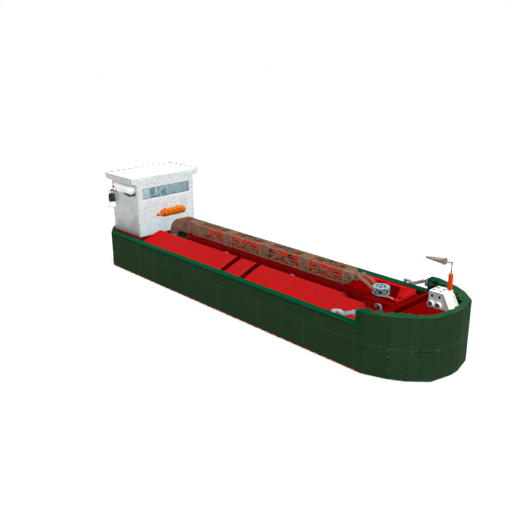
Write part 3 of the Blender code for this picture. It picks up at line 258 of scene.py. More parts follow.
def coverPaint():
    look = coverLook
    paint = Paint("coverPaint", look["middle"], Specular_IOR_Level=0.03)
    x, y, fine, out = paint.x, paint.y, paint.noise(16.0, 4), abs(paint.y)
    paint.lay(paint.ramp(out, 2.60, 2.86), look["rim"])
    paint.lay(1 - paint.ramp(x, at(3.3), at(4.9)), look["aft"])
    paint.lay((y > 0) & (x < at(21.7)), look["rim"])
    paint.lay(paint.spots(paint.noise(0.6, 4), 0.6, 0.12) * 0.25, look["worn"])
    paint.lay(paint.band(x % look["seamStep"], look["seamStep"] / 2, 0.022) * 0.30, look["seam"])
    # painted shade: the trench side of the starboard lids and of both lockers is dark, and so are the ends; the
    # port lids' trench side, which faces the side light, gets a painted highlight instead
    steep = (abs(paint.facingY) > 0.9) | (paint.facingY * y < -0.1) & (out < 1.62)
    locker = x > at(look["mouths"][0])
    paint.lay(steep, paint.mix((y > 0) & (1 - locker), look["inner"], look["portInnerLit"]))
    joint = locker & (x < at(look["mouths"][1]))
    paint.lay((abs(paint.facingX) > 0.9) * (1 - joint), look["end"])
    # painted light: faces turned ahead near the bow are brightened red to match the lit tops
    paint.lay((paint.facingX > 0.9) & (x > at(21.5)), look["foreEndLit"])
    paint.lay(paint.spots(fine, 0.74, 0.03) * 0.2, look["speck"])
    return paint.finish(0.6 + fine * 0.22, paint.noise(1.3, 2) * 0.008 + fine * 0.0010, 1.0, 0.6)


boomLook = {
    "light": (140, 106, 86), "grimeAndShade": (58, 52, 40), "moss": (98, 92, 70), "arch": (128, 74, 22),
    "archEdgeShade": (70, 6, 2), "hollow": (6, 44, 28), "side": (196, 150, 124), "pit": (24, 18, 14),
}


def boomPaint(name, base, moss):
    look = boomLook
    paint = Paint(name, base, Specular_IOR_Level=0.06)
    middle, fine = paint.noise(7.0, 6), paint.noise(30.0, 4)
    paint.lay(paint.spots(paint.noise(1.7, 5), 0.5, 0.15) * 0.7, look["light"])
    # painted light: faces turned across the ship are lighter
    paint.lay((abs(paint.facingY) > 0.6) * 0.55, look["side"])
    paint.lay(paint.spots(middle, 0.56, 0.08) * moss, look["moss"])
    paint.lay(paint.spots(fine, 0.60, 0.05) * 0.6, look["grimeAndShade"])
    paint.lay((paint.noise(9.0, 1, shift=(3, 8, 1)) > 0.70) * 0.75, look["pit"])
    # painted shade: faces turned downward are darkened
    paint.lay(paint.ramp(-1 * paint.facingZ, 0.1, 0.9) * 0.6, look["grimeAndShade"])
    # painted light and shade: the arch's back runs by facing from dark red where it turns aft to orange brown on
    # top, and its leg's fore face is a deep green painted shade
    crown = (paint.x < at(5.0)) & ((paint.facingZ > 0.4) | (paint.facingX < -0.4))
    paint.lay(crown, paint.mix(paint.ramp(paint.facingZ, 0.3, 0.75), look["archEdgeShade"], look["arch"]))
    paint.lay((paint.facingX > 0.5) & (paint.x < at(4.4)), look["hollow"])
    return paint.finish(0.6 + middle * 0.3, middle * 0.006 + fine * 0.003,
                        Metallic=paint.spots(fine, 0.7, 0.04) * 0.2)


def steelPaint(name, light, dark, metallic=0.1):
    # grey painted steel with rubbed and grimy places
    paint = Paint(name, light, Specular_IOR_Level=0.3)
    broad, fine = paint.noise(6.0, 5), paint.noise(42.0, 4)
    paint.lay(paint.spots(broad, 0.52, 0.16), dark)
    paint.lay(paint.spots(fine, 0.68, 0.04) * 0.4, (70, 66, 60))
    return paint.finish(0.40 + fine * 0.3, fine * 0.002 + broad * 0.003, Metallic=metallic + broad * 0.1)


wallLook = {
    "clean": (216, 218, 218), "mottle": (188, 190, 191), "foreLitClean": (226, 236, 238),
    "foreLitMottle": (198, 210, 213),
    "footLitClean": (232, 252, 255), "footLitMottle": (208, 234, 240), "grimeAndShade": (168, 168, 166),
    "speck": (128, 130, 130),
    "foot": (190, 170, 164), "post": (150, 178, 186), "sill": (238, 252, 255), "edge": (140, 140, 142),
    "top": (255, 255, 255), "houseSideShade": (230, 250, 250),
    "window": {"middle": 5.515, "half": 0.384, "face": 2.325, "posts": (-0.52, 0.34)},
}


def wallPaint():
    look, window = wallLook, wallLook["window"]
    paint = Paint("wallPaint", look["clean"], Specular_IOR_Level=0.1)
    x, y, z, middle, fine = paint.x, paint.y, paint.z, paint.noise(5.5, 6), paint.noise(26.0, 4)
    # painted light: faces turned ahead are lighter and bluer, most of all towards their foot, and get less grime
    fore, share = paint.ramp(paint.facingX, 0.2, 0.5), paint.spots(middle, 0.54, 0.09) * 0.75
    low = 1 - paint.ramp(z, 3.2, 5.2)
    paint.lay(share, look["mottle"])
    paint.lay(fore, paint.mix(share, paint.mix(low, look["foreLitClean"], look["footLitClean"]),
                              paint.mix(low, look["foreLitMottle"], look["footLitMottle"])))
    paint.lay(paint.spots(paint.noise(1.1, 6), 0.60, 0.12) * (0.35 - fore * 0.22), look["grimeAndShade"])
    paint.lay((paint.noise(15.0, 1, shift=(5, 9, 2)) > 0.74) * 0.5, look["speck"])
    runs = paint.spots(paint.noise(4.0, 3, (1, 1, 0.08)), 0.66, 0.05)
    paint.lay(runs * (1 - paint.ramp(z, 2.5, 5.6)) * 0.2, look["grimeAndShade"])
    # painted highlight: a white line along the sill under the front window
    paint.lay((paint.band(z, 5.075, 0.05) & (abs(y) < 2.14)) * fore, look["sill"])
    paint.lay((1 - paint.ramp(z, 2.45, 2.62)) * (x < at(3)) * (0.2 + fine * 0.4), look["foot"])
    # the window's two posts stand in the front wall's opening
    inWindow = paint.band(z, window["middle"], window["half"]) & paint.band(x, at(window["face"]), 0.0215)
    paint.lay(inWindow * paint.lines(y, [(post, 0.0502) for post in window["posts"]]), look["post"])
    return paint.finish(0.55 + middle * 0.25, middle * 0.004 + fine * 0.0015, 1.0, 0.7)


def housePaint():
    look = wallLook
    paint = Paint("housePaint", look["top"], Specular_IOR_Level=0.1)
    broad, fine, flank = paint.noise(3.0, 5), paint.noise(22.0, 4), abs(paint.facingY) > 0.7
    # painted shade: the sides are a little greyer than the white top and tinted blue
    paint.lay(flank, look["houseSideShade"])
    paint.lay(paint.spots(broad, 0.58, 0.1) * flank * 0.5, look["clean"])
    paint.lay(paint.spots(fine, 0.70, 0.03) * flank * 0.4, look["speck"])
    return paint.finish(0.55 + fine * 0.2, broad * 0.003 + fine * 0.001)


def roofPaint():
    look = wallLook
    paint = Paint("roofPaint", look["clean"], Specular_IOR_Level=0.2)
    middle, fine, up = paint.noise(4.5, 6), paint.noise(24.0, 4), paint.ramp(paint.facingZ, 0.4, 0.9)
    share = paint.spots(middle, 0.50, 0.10) * 0.9
    paint.lay(share, look["mottle"])
    # painted light: the roof's faces turned ahead are lighter and its top is pure white
    paint.lay(paint.ramp(paint.facingX, 0.2, 0.5), paint.mix(share, look["foreLitClean"], look["foreLitMottle"]))
    paint.lay(up, paint.mix(paint.spots(paint.noise(0.8, 5), 0.62, 0.14) * 0.05, look["top"], look["clean"]))
    # broken lines along the aft and port edges
    aftEdge = (paint.x < at(-0.74)) & (paint.y % 0.52 < 0.30)
    portEdge = (paint.y > 2.62) & (paint.x % 0.60 < 0.32)
    paint.lay((aftEdge | portEdge) * up, look["edge"])
    plates = (paint.band(paint.x % 1.16, 0.30, 0.006) | paint.band(abs(paint.y), 0.97, 0.006)) * up
    return paint.finish(0.5 + fine * 0.2, middle * 0.004 + fine * 0.0012 - plates * 0.002, 1.0, 0.6)


def mouldingPaint(name, base, worn, speck, specks=0.5, wireAbove=None):
    # a smooth moulding in plastic or paint, a little chalky, with scuffs
    paint = Paint(name, base, Coat_Roughness=0.3, Specular_IOR_Level=0.08)
    broad, fine = paint.noise(2.4, 5), paint.noise(13.0, 4)
    paint.lay(paint.spots(broad, 0.55, 0.15) * 0.5, worn)
    paint.lay(paint.spots(fine, 0.55, 0.03) * specks, speck)
    if wireAbove is not None:
        paint.lay(paint.z > wireAbove, paint.mix(paint.z % 0.13 < 0.07, (196, 196, 194), (128, 128, 126)))
    return paint.finish(0.42 + fine * 0.25, broad * 0.004 + fine * 0.001)


def glassPaint():
    paint = Paint("paneGlass", (136, 178, 192), IOR=1.45, Specular_IOR_Level=0.3)
    fine = paint.noise(7.0, 5)
    paint.lay(paint.spots(paint.noise(0.9, 3), 0.5, 0.2), (108, 154, 172))
    return paint.finish(0.10 + fine * 0.10, Alpha=0.34 + paint.spots(fine, 0.58, 0.12) * 0.08)


def plainPaint(name, base, worn, roughness=0.6, depth=0.0015):
    # rubber, seat plastic, castings: one colour with a grain and rubbed places
    paint = Paint(name, base)
    fine = paint.noise(54.0, 3)
    paint.lay(paint.spots(paint.noise(3.0, 5), 0.54, 0.14), worn)
    return paint.finish(roughness + fine * 0.2 - 0.1, fine, depth)


def sockPaint():
    paint = Paint("sockCloth", (176, 178, 178), Sheen_Weight=0.1, Sheen_Roughness=0.5, Specular_IOR_Level=0.1)
    middle = paint.noise(16.0, 3)
    paint.lay(paint.spots(paint.noise(5.0, 4), 0.52, 0.1) * 0.8, (132, 134, 134))
    paint.lay(paint.spots(paint.noise(7.0, 1, (1, 0.4, 1), (2, 5, 8)), 0.57, 0.02), (232, 196, 110))
    paint.lay(paint.spots(middle, 0.60, 0.02) * 0.8, (52, 50, 48))
    weave = abs(paint.x % 0.008 - 0.004) + abs(paint.z % 0.008 - 0.004)
    return paint.finish(0.8 + paint.noise(120.0, 2) * 0.15, weave + middle * 0.01, 0.5)


def cushionPaint():
    paint = Paint("seatCloth", (34, 36, 42), Sheen_Weight=0.15)
    fine = paint.noise(70.0, 3)
    paint.lay(paint.spots(paint.noise(6.0, 4), 0.5, 0.15), (56, 58, 64))
    return paint.finish(0.6 + fine * 0.25, fine, 0.002)


def woodPaint():
    paint = Paint("handleWood", (186, 112, 52), Coat_Weight=0.4)
    grain = paint.noise(12.0, 6, (1, 6, 6))
    paint.lay(paint.spots(grain, 0.5, 0.12), (120, 66, 28))
    return paint.finish(0.3 + grain * 0.25, grain, 0.001)


def screenPaint():
    paint = Paint("screenGlass", (12, 20, 26), Coat_Weight=0.5)
    cells = paint.noise(9.0, 3)
    paint.lay(paint.spots(cells, 0.55, 0.08), (24, 44, 52))
    return paint.finish(0.08 + cells * 0.1)


def floorPaint():
    paint = Paint("studioFloor", (0.92, 0.92, 0.92, 1), Roughness=0.8, Specular_IOR_Level=0.2)
    paint.lay(paint.noise(0.15, 2), (0.95, 0.95, 0.95, 1))
    return paint.finish()


finishes = {
    "hull": hullPaint(), "bottom": bottomPaint(), "deck": deckPaint(), "cover": coverPaint(),
    "boom": boomPaint("boomPaint", (124, 93, 76), 0.25),
    "strut": boomPaint("strutPaint", (108, 92, 74), 0.85),
    "boomShade": boomPaint("boomShade", (52, 40, 32), 0.1),
    "steel": steelPaint("fittingSteel", (172, 194, 200), (138, 160, 166)),
    "darkSteel": steelPaint("darkSteel", (66, 80, 84), (42, 50, 54)),
    "boltSteel": steelPaint("boltSteel", (140, 142, 142), (96, 98, 98)),
    "armSteel": steelPaint("armSteel", (168, 184, 188), (118, 134, 138)),
    "ventSteel": steelPaint("ventSteel", (132, 156, 160), (92, 112, 116)),
    "lampTeal": steelPaint("lampTeal", (48, 98, 116), (26, 60, 72)),
    "bronze": steelPaint("castBronze", (176, 134, 78), (128, 92, 48), 0.75),
    "wall": wallPaint(), "roof": roofPaint(), "house": housePaint(), "glass": glassPaint(),
    "teal": plainPaint("consoleTeal", (84, 118, 124), (62, 92, 98), 0.5),
    "orange": mouldingPaint("rescueOrange", (226, 116, 0), (212, 100, 0), (120, 48, 6), 0.9),
    "mast": mouldingPaint("mastOrange", (255, 72, 6), (246, 62, 4), (220, 50, 10), 0.2, 4.285),
    "capsule": mouldingPaint("capsuleWhite", (248, 248, 248), (226, 228, 228), (180, 184, 184), 0.4),
    "hood": mouldingPaint("hoodWhite", (246, 247, 247), (222, 224, 224), (180, 182, 182), 0.3),
    "red": mouldingPaint("markRed", (226, 30, 38), (200, 22, 30), (120, 16, 20), 0.4),
    "black": plainPaint("lampBlack", (16, 16, 17), (40, 40, 42), 0.5),
    "rubber": plainPaint("sealRubber", (26, 27, 28), (48, 48, 50), 0.75),
    "plastic": plainPaint("seatPlastic", (34, 34, 38), (54, 54, 58), 0.55),
    "engine": plainPaint("enginePaint", (88, 112, 104), (60, 78, 72), 0.5, 0.004),
    "sock": sockPaint(), "cushion": cushionPaint(), "wood": woodPaint(), "screen": screenPaint(),
}
nodeFinishes = {
    "hull": ["hull_stern", "hull_side_port", "hull_side_starboard", "hull_bow", "bow_bulwark", "rudder"],
    "bottom": ["hull_bottom"],
    "deck": ["hull_cargo_block", "aft_deck", "fore_deck", "breakwater"],
    "cover": ["hatch_frame_port", "hatch_frame_starboard", "side_locker_port", "side_locker_starboard"] + [
        f"tank_cover_{side}_{run}" for side in sides for run in ("aft", "middle", "fore")],
    "boom": ["boom_pedestal", "boom_root", "boom_lattice", "boom_head", "hose_tube_port",
             "hose_tube_starboard"],
    "steel": ["pump_head", "swing_arm_starboard"], "armSteel": ["swing_arm_port"],
    "boltSteel": ["windsock_frame"],
    "wall": ["wheelhouse_front", "wheelhouse_aft", "wheelhouse_port", "wheelhouse_starboard",
             "wheelhouse_door"],
    "house": ["bow_housing"], "roof": ["wheelhouse_roof"],
    "glass": ["window_glass_front", "window_glass_aft", "door_glass"],
    "teal": ["helm_console", "bridge_floor"], "plastic": ["helm_seat", "helm_wheel"],
    "orange": ["rescue_canister"], "mast": ["signal_mast"], "capsule": ["raft_capsule"],
    "hood": ["floodlight_hood"], "black": ["floodlight"], "bronze": ["propeller"], "engine": ["engine_block"],
    "sock": ["windsock"],
}


def coat(piece, finishName):
    piece.data.materials.clear()
    piece.data.materials.append(finishes[finishName])
    return piece


for finishName, nodeNames in nodeFinishes.items():
    for nodeName in nodeNames:
        coat(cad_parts[nodeName], finishName)
print("tanker: paints made,", len(finishes))


# Modelling tools

def setMode(mode):
    bpy.ops.object.mode_set(mode=mode)


def clearSelection():
    if bpy.context.object and bpy.context.object.mode != "OBJECT":
        setMode("OBJECT")
    bpy.ops.object.select_all(action="DESELECT")


def pick(*pieces):
    clearSelection()
    for piece in pieces:
        piece.select_set(True)
    bpy.context.view_layer.objects.active = pieces[0]


def editAll(piece):
    # edit mode with all of it selected, by vertices, so that an open ring is selected too
    pick(piece)
    setMode("EDIT")
    bpy.ops.mesh.select_mode(type="VERT")
    bpy.ops.mesh.select_all(action="SELECT")


def editChosen(piece, domain, chosen):
    # edit mode with only the chosen vertices, edges or faces selected
    pick(piece)
    setMode("EDIT")
    bpy.ops.mesh.select_mode(type={"vertices": "VERT", "edges": "EDGE", "polygons": "FACE"}[domain])
    bpy.ops.mesh.select_all(action="DESELECT")
    setMode("OBJECT")
    for element in getattr(piece.data, domain):
        element.select = chosen(element)
    setMode("EDIT")


def settle(piece):
    # the place goes into the mesh, and the object back to the origin
    pick(piece)
    bpy.ops.object.transform_apply(location=True, rotation=True, scale=True)
    return piece


def aimed(piece, direction, place):
    piece.rotation_mode = "QUATERNION"
    piece.rotation_quaternion = Vector(direction).to_track_quat("Z", "Y")
    piece.location = place
    return settle(piece)


def laid(piece, turn, place):
    piece.rotation_euler, piece.location = turn, place
    return settle(piece)


def useModifier(piece, kind, **settings):
    pick(piece)
    bpy.ops.object.modifier_add(type=kind)
    modifier = piece.modifiers[-1]
    for key, value in settings.items():
        setattr(modifier, key, value)
    bpy.ops.object.modifier_apply(modifier=modifier.name)
    return piece


def outward(piece):
    editAll(piece)
    bpy.ops.mesh.normals_make_consistent(inside=False)
    setMode("OBJECT")
    return piece


def plate(corner, opposite, edge=0.0, steps=1):
    # a plate or bar between two corners, with its edges eased
    clearSelection()
    low, high = Vector(map(min, corner, opposite)), Vector(map(max, corner, opposite))
    bpy.ops.mesh.primitive_cube_add(size=1, location=(low + high) / 2)
    piece = bpy.context.object
    piece.scale = high - low
    settle(piece)
    if edge:
        editAll(piece)
        bpy.ops.mesh.bevel(offset=edge, offset_pct=0, segments=steps, affect="EDGES")
        setMode("OBJECT")
    return piece


def spunUp(start, direction, rings, corners=20):
    # a round piece from a disc: for each ring (distance, radius) the end is extruded on and resized
    clearSelection()
    bpy.ops.mesh.primitive_circle_add(vertices=corners, radius=rings[0][1], fill_type="NGON",
                                      location=(0, 0, rings[0][0]))
    piece = settle(bpy.context.object)
    editAll(piece)
    for (before, width), (after, nextWidth) in zip(rings, rings[1:]):
        bpy.ops.mesh.extrude_region_move(TRANSFORM_OT_translate={"value": (0, 0, after - before)})
        share = nextWidth / width
        bpy.ops.transform.resize(value=(share, share, 1), center_override=(0, 0, after))
    return aimed(outward(piece), direction, start)


def disc(start, direction, radius, thick, corners=20):
    return spunUp(start, direction, ((0, radius), (thick, radius)), corners)


def bar(start, end, radius, corners=8):
    run = Vector(end) - Vector(start)
    return disc(start, run, radius, run.length, corners)


def washer(centre, direction, inner, outer, thick, corners=20):
    # a flat ring with a hole, thick to both sides of its centre
    clearSelection()
    bpy.ops.mesh.primitive_circle_add(vertices=corners, radius=inner, fill_type="NOTHING", location=(0, 0, 0))
    piece = bpy.context.object
    editAll(piece)
    bpy.ops.mesh.extrude_region_move(TRANSFORM_OT_translate={"value": (0, 0, 0)})
    bpy.ops.transform.resize(value=(outer / inner, outer / inner, 1), center_override=(0, 0, 0))
    setMode("OBJECT")
    useModifier(piece, "SOLIDIFY", thickness=thick, offset=0.0)
    return outward(aimed(piece, direction, centre))


def strap(points, width, thick):
    # a flat bar that follows points in a plane across the ship, extruded from its first end
    clearSelection()
    bpy.ops.mesh.primitive_plane_add(size=1)
    piece = bpy.context.object
    piece.scale = (width, thick, 1)
    laid(piece, (math.radians(90), 0, 0), points[0])
    editAll(piece)
    for before, after in zip(points, points[1:]):
        bpy.ops.mesh.extrude_region_move(TRANSFORM_OT_translate={"value": Vector(after) - Vector(before)})
    return outward(piece)


def bentTube(points, radius, corners=10):
    # a round tube along points, from a curve made a mesh
    clearSelection()
    bpy.ops.curve.primitive_nurbs_path_add(location=(0, 0, 0))
    curve = bpy.context.object.data
    curve.splines.clear()
    spline = curve.splines.new("POLY")
    spline.points.add(len(points) - 1)
    for point, place in zip(spline.points, points):
        point.co = (*place, 1)
    curve.dimensions, curve.bevel_depth, curve.use_fill_caps = "3D", radius, True
    curve.bevel_resolution = max(1, corners // 4)
    pick(bpy.context.object)
    bpy.ops.object.convert(target="MESH")
    return outward(bpy.context.object)


def rowOf(piece, step, count):
    return useModifier(piece, "ARRAY", use_relative_offset=False, use_constant_offset=True,
                       constant_offset_displace=step, count=count)


def shifted(piece, move):
    # a copy with its own mesh
    clearSelection()
    twin = piece.copy()
    twin.data = piece.data.copy()
    bpy.context.scene.collection.objects.link(twin)
    twin.location = move
    return settle(twin)


def coats(finishName, *parts):
    return [coat(part, finishName) for part in parts]


def joined(parts, name="part"):
    pick(*parts)
    if len(parts) > 1:
        bpy.ops.object.join()
    piece = bpy.context.object
    piece.name = piece.data.name = name
    return piece


def fitted(name, parts, body, finishName=None, angle=32):
    # joining, finish, shading and what it rides on: the last step of every piece
    piece = joined(parts, name)
    if finishName:
        coat(piece, finishName)
    pick(piece)
    bpy.ops.object.shade_smooth_by_angle(angle=math.radians(angle))
    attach(piece, body)
    return piece


def boltHead(place, direction, size=0.02):
    return spunUp(place, direction, ((-0.002, size), (size * 0.5, size), (size * 0.75, size * 0.7)), 6)


def boltCircle(centre, direction, radius, count, size):
    way = Vector(direction).normalized()
    out = way.orthogonal().normalized() * radius
    turns = [Matrix.Rotation(2 * math.pi * i / count, 3, way) for i in range(count)]
    return joined([boltHead(Vector(centre) + turn @ out, way, size) for turn in turns])


def frameBars(axis, depth, reach, heights, width, edge):
    # four bars round an opening in a wall that faces along an axis: two across, two upright between them
    (near, far), (low, high) = reach, heights
    made = []
    for u0, u1, z0, z1 in ((near, far, low, low + width), (near, far, high - width, high),
                           (near, near + width, low + width, high - width),
                           (far - width, far, low + width, high - width)):
        ends = ((depth[0], u0, z0), (depth[1], u1, z1))
        made.append(plate(*[end if axis == "x" else (end[1], end[0], end[2]) for end in ends], edge))
    return made


# Boom girder: four chords, collars between the bays, and crossed struts in every bay

girder = {
    "aft": 6.30, "fore": 19.30, "z": 3.39, "half": 0.44, "chordOut": 0.383, "chordRadius": 0.056,
    "bays": (6.55, 9.95, 13.35, 16.75), "bayLength": 2.55, "strutOut": 0.385, "strutRadius": 0.040,
    "stayRadius": 0.020, "faintRadius": 0.014, "hubRadius": 0.075,
    "collars": ((6.30, 6.55), (9.10, 9.95), (12.50, 13.35), (15.90, 16.75), (19.22, 19.30)),
    "frame": 0.075, "wall": 0.025, "bolts": ((-0.63, 0.30), (-0.63, -0.30), (-0.135, 0.30), (-0.135, -0.34)),
}


def onFace(face, along, rise, out):
    # a point on one of the girder's four faces: the sides face across the ship, top and bottom up and down
    z = girder["z"]
    return Vector({"starboard": (along, -out, z + rise), "port": (along, out, z + rise),
                   "top": (along, rise, z + out), "bottom": (along, rise, z - out)}[face])


def girderBay(start):
    length, reach, out = girder["bayLength"], girder["chordOut"], girder["strutOut"]
    x0, x1 = at(start), at(start) + length
    quarter, middle, last = x0 + length / 4, (x0 + x1) / 2, x1 - length / 4
    crosses = [((x0, -reach), (x1, reach)), ((x0, reach), (x1, -reach))]
    stays = [((middle, -reach), (middle, reach))]
    for edge in (-reach, reach):
        stays += [((quarter, edge), (middle, 0)), ((last, edge), (middle, 0)), ((x0, 0), (quarter, edge)),
                  ((x1, 0), (last, edge))]
    struts, hubs = [], []
    for face in ("starboard", "port", "top", "bottom"):
        full = face in ("starboard", "top")      # the other two faces have only a thin cross
        runs = [(run, girder["strutRadius" if full else "faintRadius"]) for run in crosses]
        runs += [(run, girder["stayRadius"]) for run in stays if full]
        for (first, second), radius in runs:
            struts.append(bar(onFace(face, *first, out), onFace(face, *second, out), radius, 7))
        if full:
            inner, outer = onFace(face, middle, 0, out - 0.03), onFace(face, middle, 0, out + 0.042)
            rings = ((0, girder["hubRadius"]), (0.055, girder["hubRadius"]), (0.072, 0.05))
            hubs += coats("darkSteel", spunUp(inner, outer - inner, rings, 12))
    return joined(coats("strut", joined(struts)) + hubs)


def girderCollar(start, end):
    # a plated collar: each side face is inset and pushed in, so that a frame stands round it
    half, z = girder["half"], girder["z"]
    collar = plate((at(start), -half, z - half), (at(end), half, z + half), 0.014)
    if end - start > 0.5:
        editChosen(collar, "polygons", lambda face: abs(face.normal.x) < 0.1 and face.area > 0.3)
        bpy.ops.mesh.inset(thickness=girder["frame"], use_individual=True)
        bpy.ops.mesh.inset(thickness=0.03, depth=-0.025, use_individual=True)
        setMode("OBJECT")
        # both ends are open, and so are the port and the lower face inside their frames
        editChosen(collar, "polygons", lambda face: abs(face.normal.x) > 0.9 or (
            face.area > 0.3 and (face.normal.y > 0.9 or face.normal.z < -0.9)))
        bpy.ops.mesh.delete(type="FACE")
        setMode("OBJECT")
        useModifier(collar, "SOLIDIFY", thickness=girder["wall"], offset=-1)
    return collar


def collarSlots(end):
    # a black plate near each collar's fore lower corner, a slot in painted shade, and bolt heads round it
    half, z, made = girder["half"], girder["z"], []
    for side in sides.values():
        made += coats("black", plate((at(end) - 0.27, side * 0.408, z - 0.28),
                                     (at(end) - 0.19, side * 0.428, z - 0.10), 0.004))
        made += coats("darkSteel", *[boltHead((at(end) + along, side * half, z + rise), (0, side, 0), 0.022)
                                     for along, rise in girder["bolts"]])
    return made


firstBay = girderBay(girder["bays"][0])
bays = [firstBay] + [shifted(firstBay, (start - girder["bays"][0], 0, 0)) for start in girder["bays"][1:]]
chords = []
for rise in (-girder["chordOut"], girder["chordOut"]):
    for y in (-girder["chordOut"], girder["chordOut"]):
        chords.append(bar(*[(at(girder[end]), y, girder["z"] + rise) for end in ("aft", "fore")],
                          girder["chordRadius"], 12))
collars = coats("boom", *[girderCollar(*run) for run in girder["collars"]])
slots = [part for run in girder["collars"][1:4] for part in collarSlots(run[1])]
latticeGirder = fitted("latticeGirder", bays + coats("strut", joined(chords)) + collars + slots,
                       "boom", angle=35)
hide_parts("boom_lattice")
print("tanker: boom girder,", len(latticeGirder.data.polygons), "faces")


# Boom ends: side plates and pin caps, the pedestal's foot and ribs, and the bands of the root

boomEnds = {
    "pin": (5.30, 3.39), "cheekAft": 4.70, "cheek": (0.431, 0.445), "cheekHalf": 0.435, "cap": 0.466,
    "headPin": (20.15, 3.56), "headCap": 0.356, "deck": 2.2,
    "foot": {"aft": 3.12, "fore": 4.20, "half": 0.54, "top": 2.23},
    "footBolts": (3.17, 3.44, 3.71, 3.98, 4.15), "bands": (5.98, 6.20), "archRadius": 1.22, "ribSide": 0.447,
}
foot, (near, far), half = boomEnds["foot"], boomEnds["cheek"], boomEnds["cheekHalf"]
pinX, pinZ = at(boomEnds["pin"][0]), boomEnds["pin"][1]
pedestalParts, boomParts = [], []
for side in sides.values():
    # a side plate with a round end covers the fork, with a ring of bolts
    across = (0, side, 0)
    pedestalParts += coats(
        "boom", plate((at(boomEnds["cheekAft"]), side * near, pinZ - half), (pinX, side * far, pinZ + half)),
        disc((pinX, side * near, pinZ), across, half, far - near, 40),
        boltCircle((pinX, side * far, pinZ), across, 0.33, 10, 0.014))
    boomParts += coats("boom", spunUp((pinX, side * boomEnds["cap"], pinZ), across,
                                      ((0, 0.078), (0.014, 0.078), (0.024, 0.06)), 24))
base = plate((at(foot["aft"]), -foot["half"], boomEnds["deck"]),
             (at(foot["fore"]), foot["half"], foot["top"]), 0.008)
footBolts = [boltHead((at(s), y, foot["top"]), upward, 0.026)
             for s in boomEnds["footBolts"] for y in (-0.49, 0.49)]
# stiffening ribs that follow the arch's outer curve on both sides
archRibs = []
for side in sides.values():
    y, radius = side * boomEnds["ribSide"], boomEnds["archRadius"]
    turns = [math.radians(180 - 90 * i / 8) for i in range(9)]
    curve = [(at(4.50) + radius * math.cos(a), y, 2.55 + radius * math.sin(a)) for a in turns]
    archRibs.append(bentTube([(at(3.28), y, 2.24)] + curve + [(at(4.78), y, 3.77)], 0.022, 6))
fitted("pedestalGear", coats("darkSteel", joined(footBolts)) + coats("boom", base) + pedestalParts
       + coats("boom", *archRibs), "hull")

pinX, pinZ = at(boomEnds["headPin"][0]), boomEnds["headPin"][1]
for side in sides.values():
    boomParts += coats("darkSteel", spunUp((pinX, side * boomEnds["headCap"], pinZ), (0, side, 0),
                                           ((0, 0.052), (0.012, 0.052), (0.02, 0.04)), 20))
# flat bands round the root box
half, z = girder["half"], girder["z"]
outer = half + 0.008
for station in boomEnds["bands"]:
    x0, x1 = at(station) - 0.03, at(station) + 0.03
    for y in (-half, half):
        boomParts += coats("boom", plate((x0, y - 0.01, z - outer), (x1, y + 0.01, z + outer), 0.004))
    for height in (z - half, z + half):
        boomParts += coats("boom", plate((x0, -outer, height - 0.01), (x1, outer, height + 0.01), 0.004))
fitted("boomTrim", boomParts, "boom")

# the head: a plain core, and cast fingers that run together over it towards the tongue
headCast = {
    "aft": 19.302, "fore": 19.86, "aftHalf": 0.34, "foreHalf": 0.15, "z": 3.39, "foreZ": 3.53,
    "coreZ": 3.468235,
    "ranks": (-0.36, -0.18, 0.0, 0.18, 0.36), "fingerRadius": 0.047, "tongueHalf": 0.125,
    "tongueRound": 0.165,
    "pinHalf": 0.357,
}


def headFingers():
    # each finger starts at the last collar and ends on the narrow end; their middles bulge out
    made = []
    x0, x1, z0, z1 = at(headCast["aft"]) + 0.03, at(headCast["fore"]) - 0.01, headCast["z"], headCast["foreZ"]
    wide, narrow = headCast["aftHalf"] + 0.055, headCast["foreHalf"]
    for rank in headCast["ranks"]:
        near = rank * narrow / headCast["aftHalf"] * 0.8
        runs = [[(x0, s * wide, z0 + rank), (x0 + 0.24, s * wide * 0.93, z0 + 0.05 + rank * 0.85),
                 (x1, s * narrow, z1 + near)] for s in (-1, 1)]
        runs += [[(x0, rank, z0 + s * wide), (x0 + 0.24, rank * 0.85, z0 + 0.05 + s * wide * 0.9),
                  (x1, near, z1 + s * narrow)] for s in (-1, 1)]
        made += [bentTube(run, headCast["fingerRadius"], 8) for run in runs]
    return made


half, z = headCast["foreHalf"], headCast["coreZ"]
core = plate((at(headCast["aft"]), -half, z - half), (at(headCast["fore"]), half, z + half), 0.02, 2)
half, tip = headCast["tongueHalf"], headCast["tongueRound"]
tongue = plate((at(headCast["fore"]) - 0.20, -half, pinZ - 0.15), (pinX, half, pinZ + 0.15), 0.02, 2)
tongueEnd = spunUp((pinX, -half, pinZ), toPort, ((0, 0.15), (0.015, tip), (0.235, tip), (0.25, 0.15)), 28)
pinRod = bar((pinX, -headCast["pinHalf"], pinZ), (pinX, headCast["pinHalf"], pinZ), 0.059, 20)
headParts = coats("boomShade", core) + coats("boom", joined(headFingers()), tongue, tongueEnd)
headParts += coats("darkSteel", pinRod)
headParts += coats("boom", plate((at(19.30), -0.43, 2.96), (at(19.345), 0.43, 3.82), 0.012))
# painted shade: small black blocks set among the fingers darken the gaps between them
for side in sides.values():
    for along, z in ((19.47, 3.48), (19.62, 3.37)):
        headParts += coats("black", plate((at(along), side * 0.33 - 0.03, z - 0.02),
                                          (at(along) + 0.10, side * 0.33 + 0.03, z + 0.02), 0.004))
headCasting = fitted("headCasting", headParts, "boom", angle=50)
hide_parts("boom_head")
print("tanker: boom ends")


# Pump head: a dark drum in a cage of crossed bars, a top with rings round black discs that stand for holes in
# painted shade, and flanges on the hose tubes

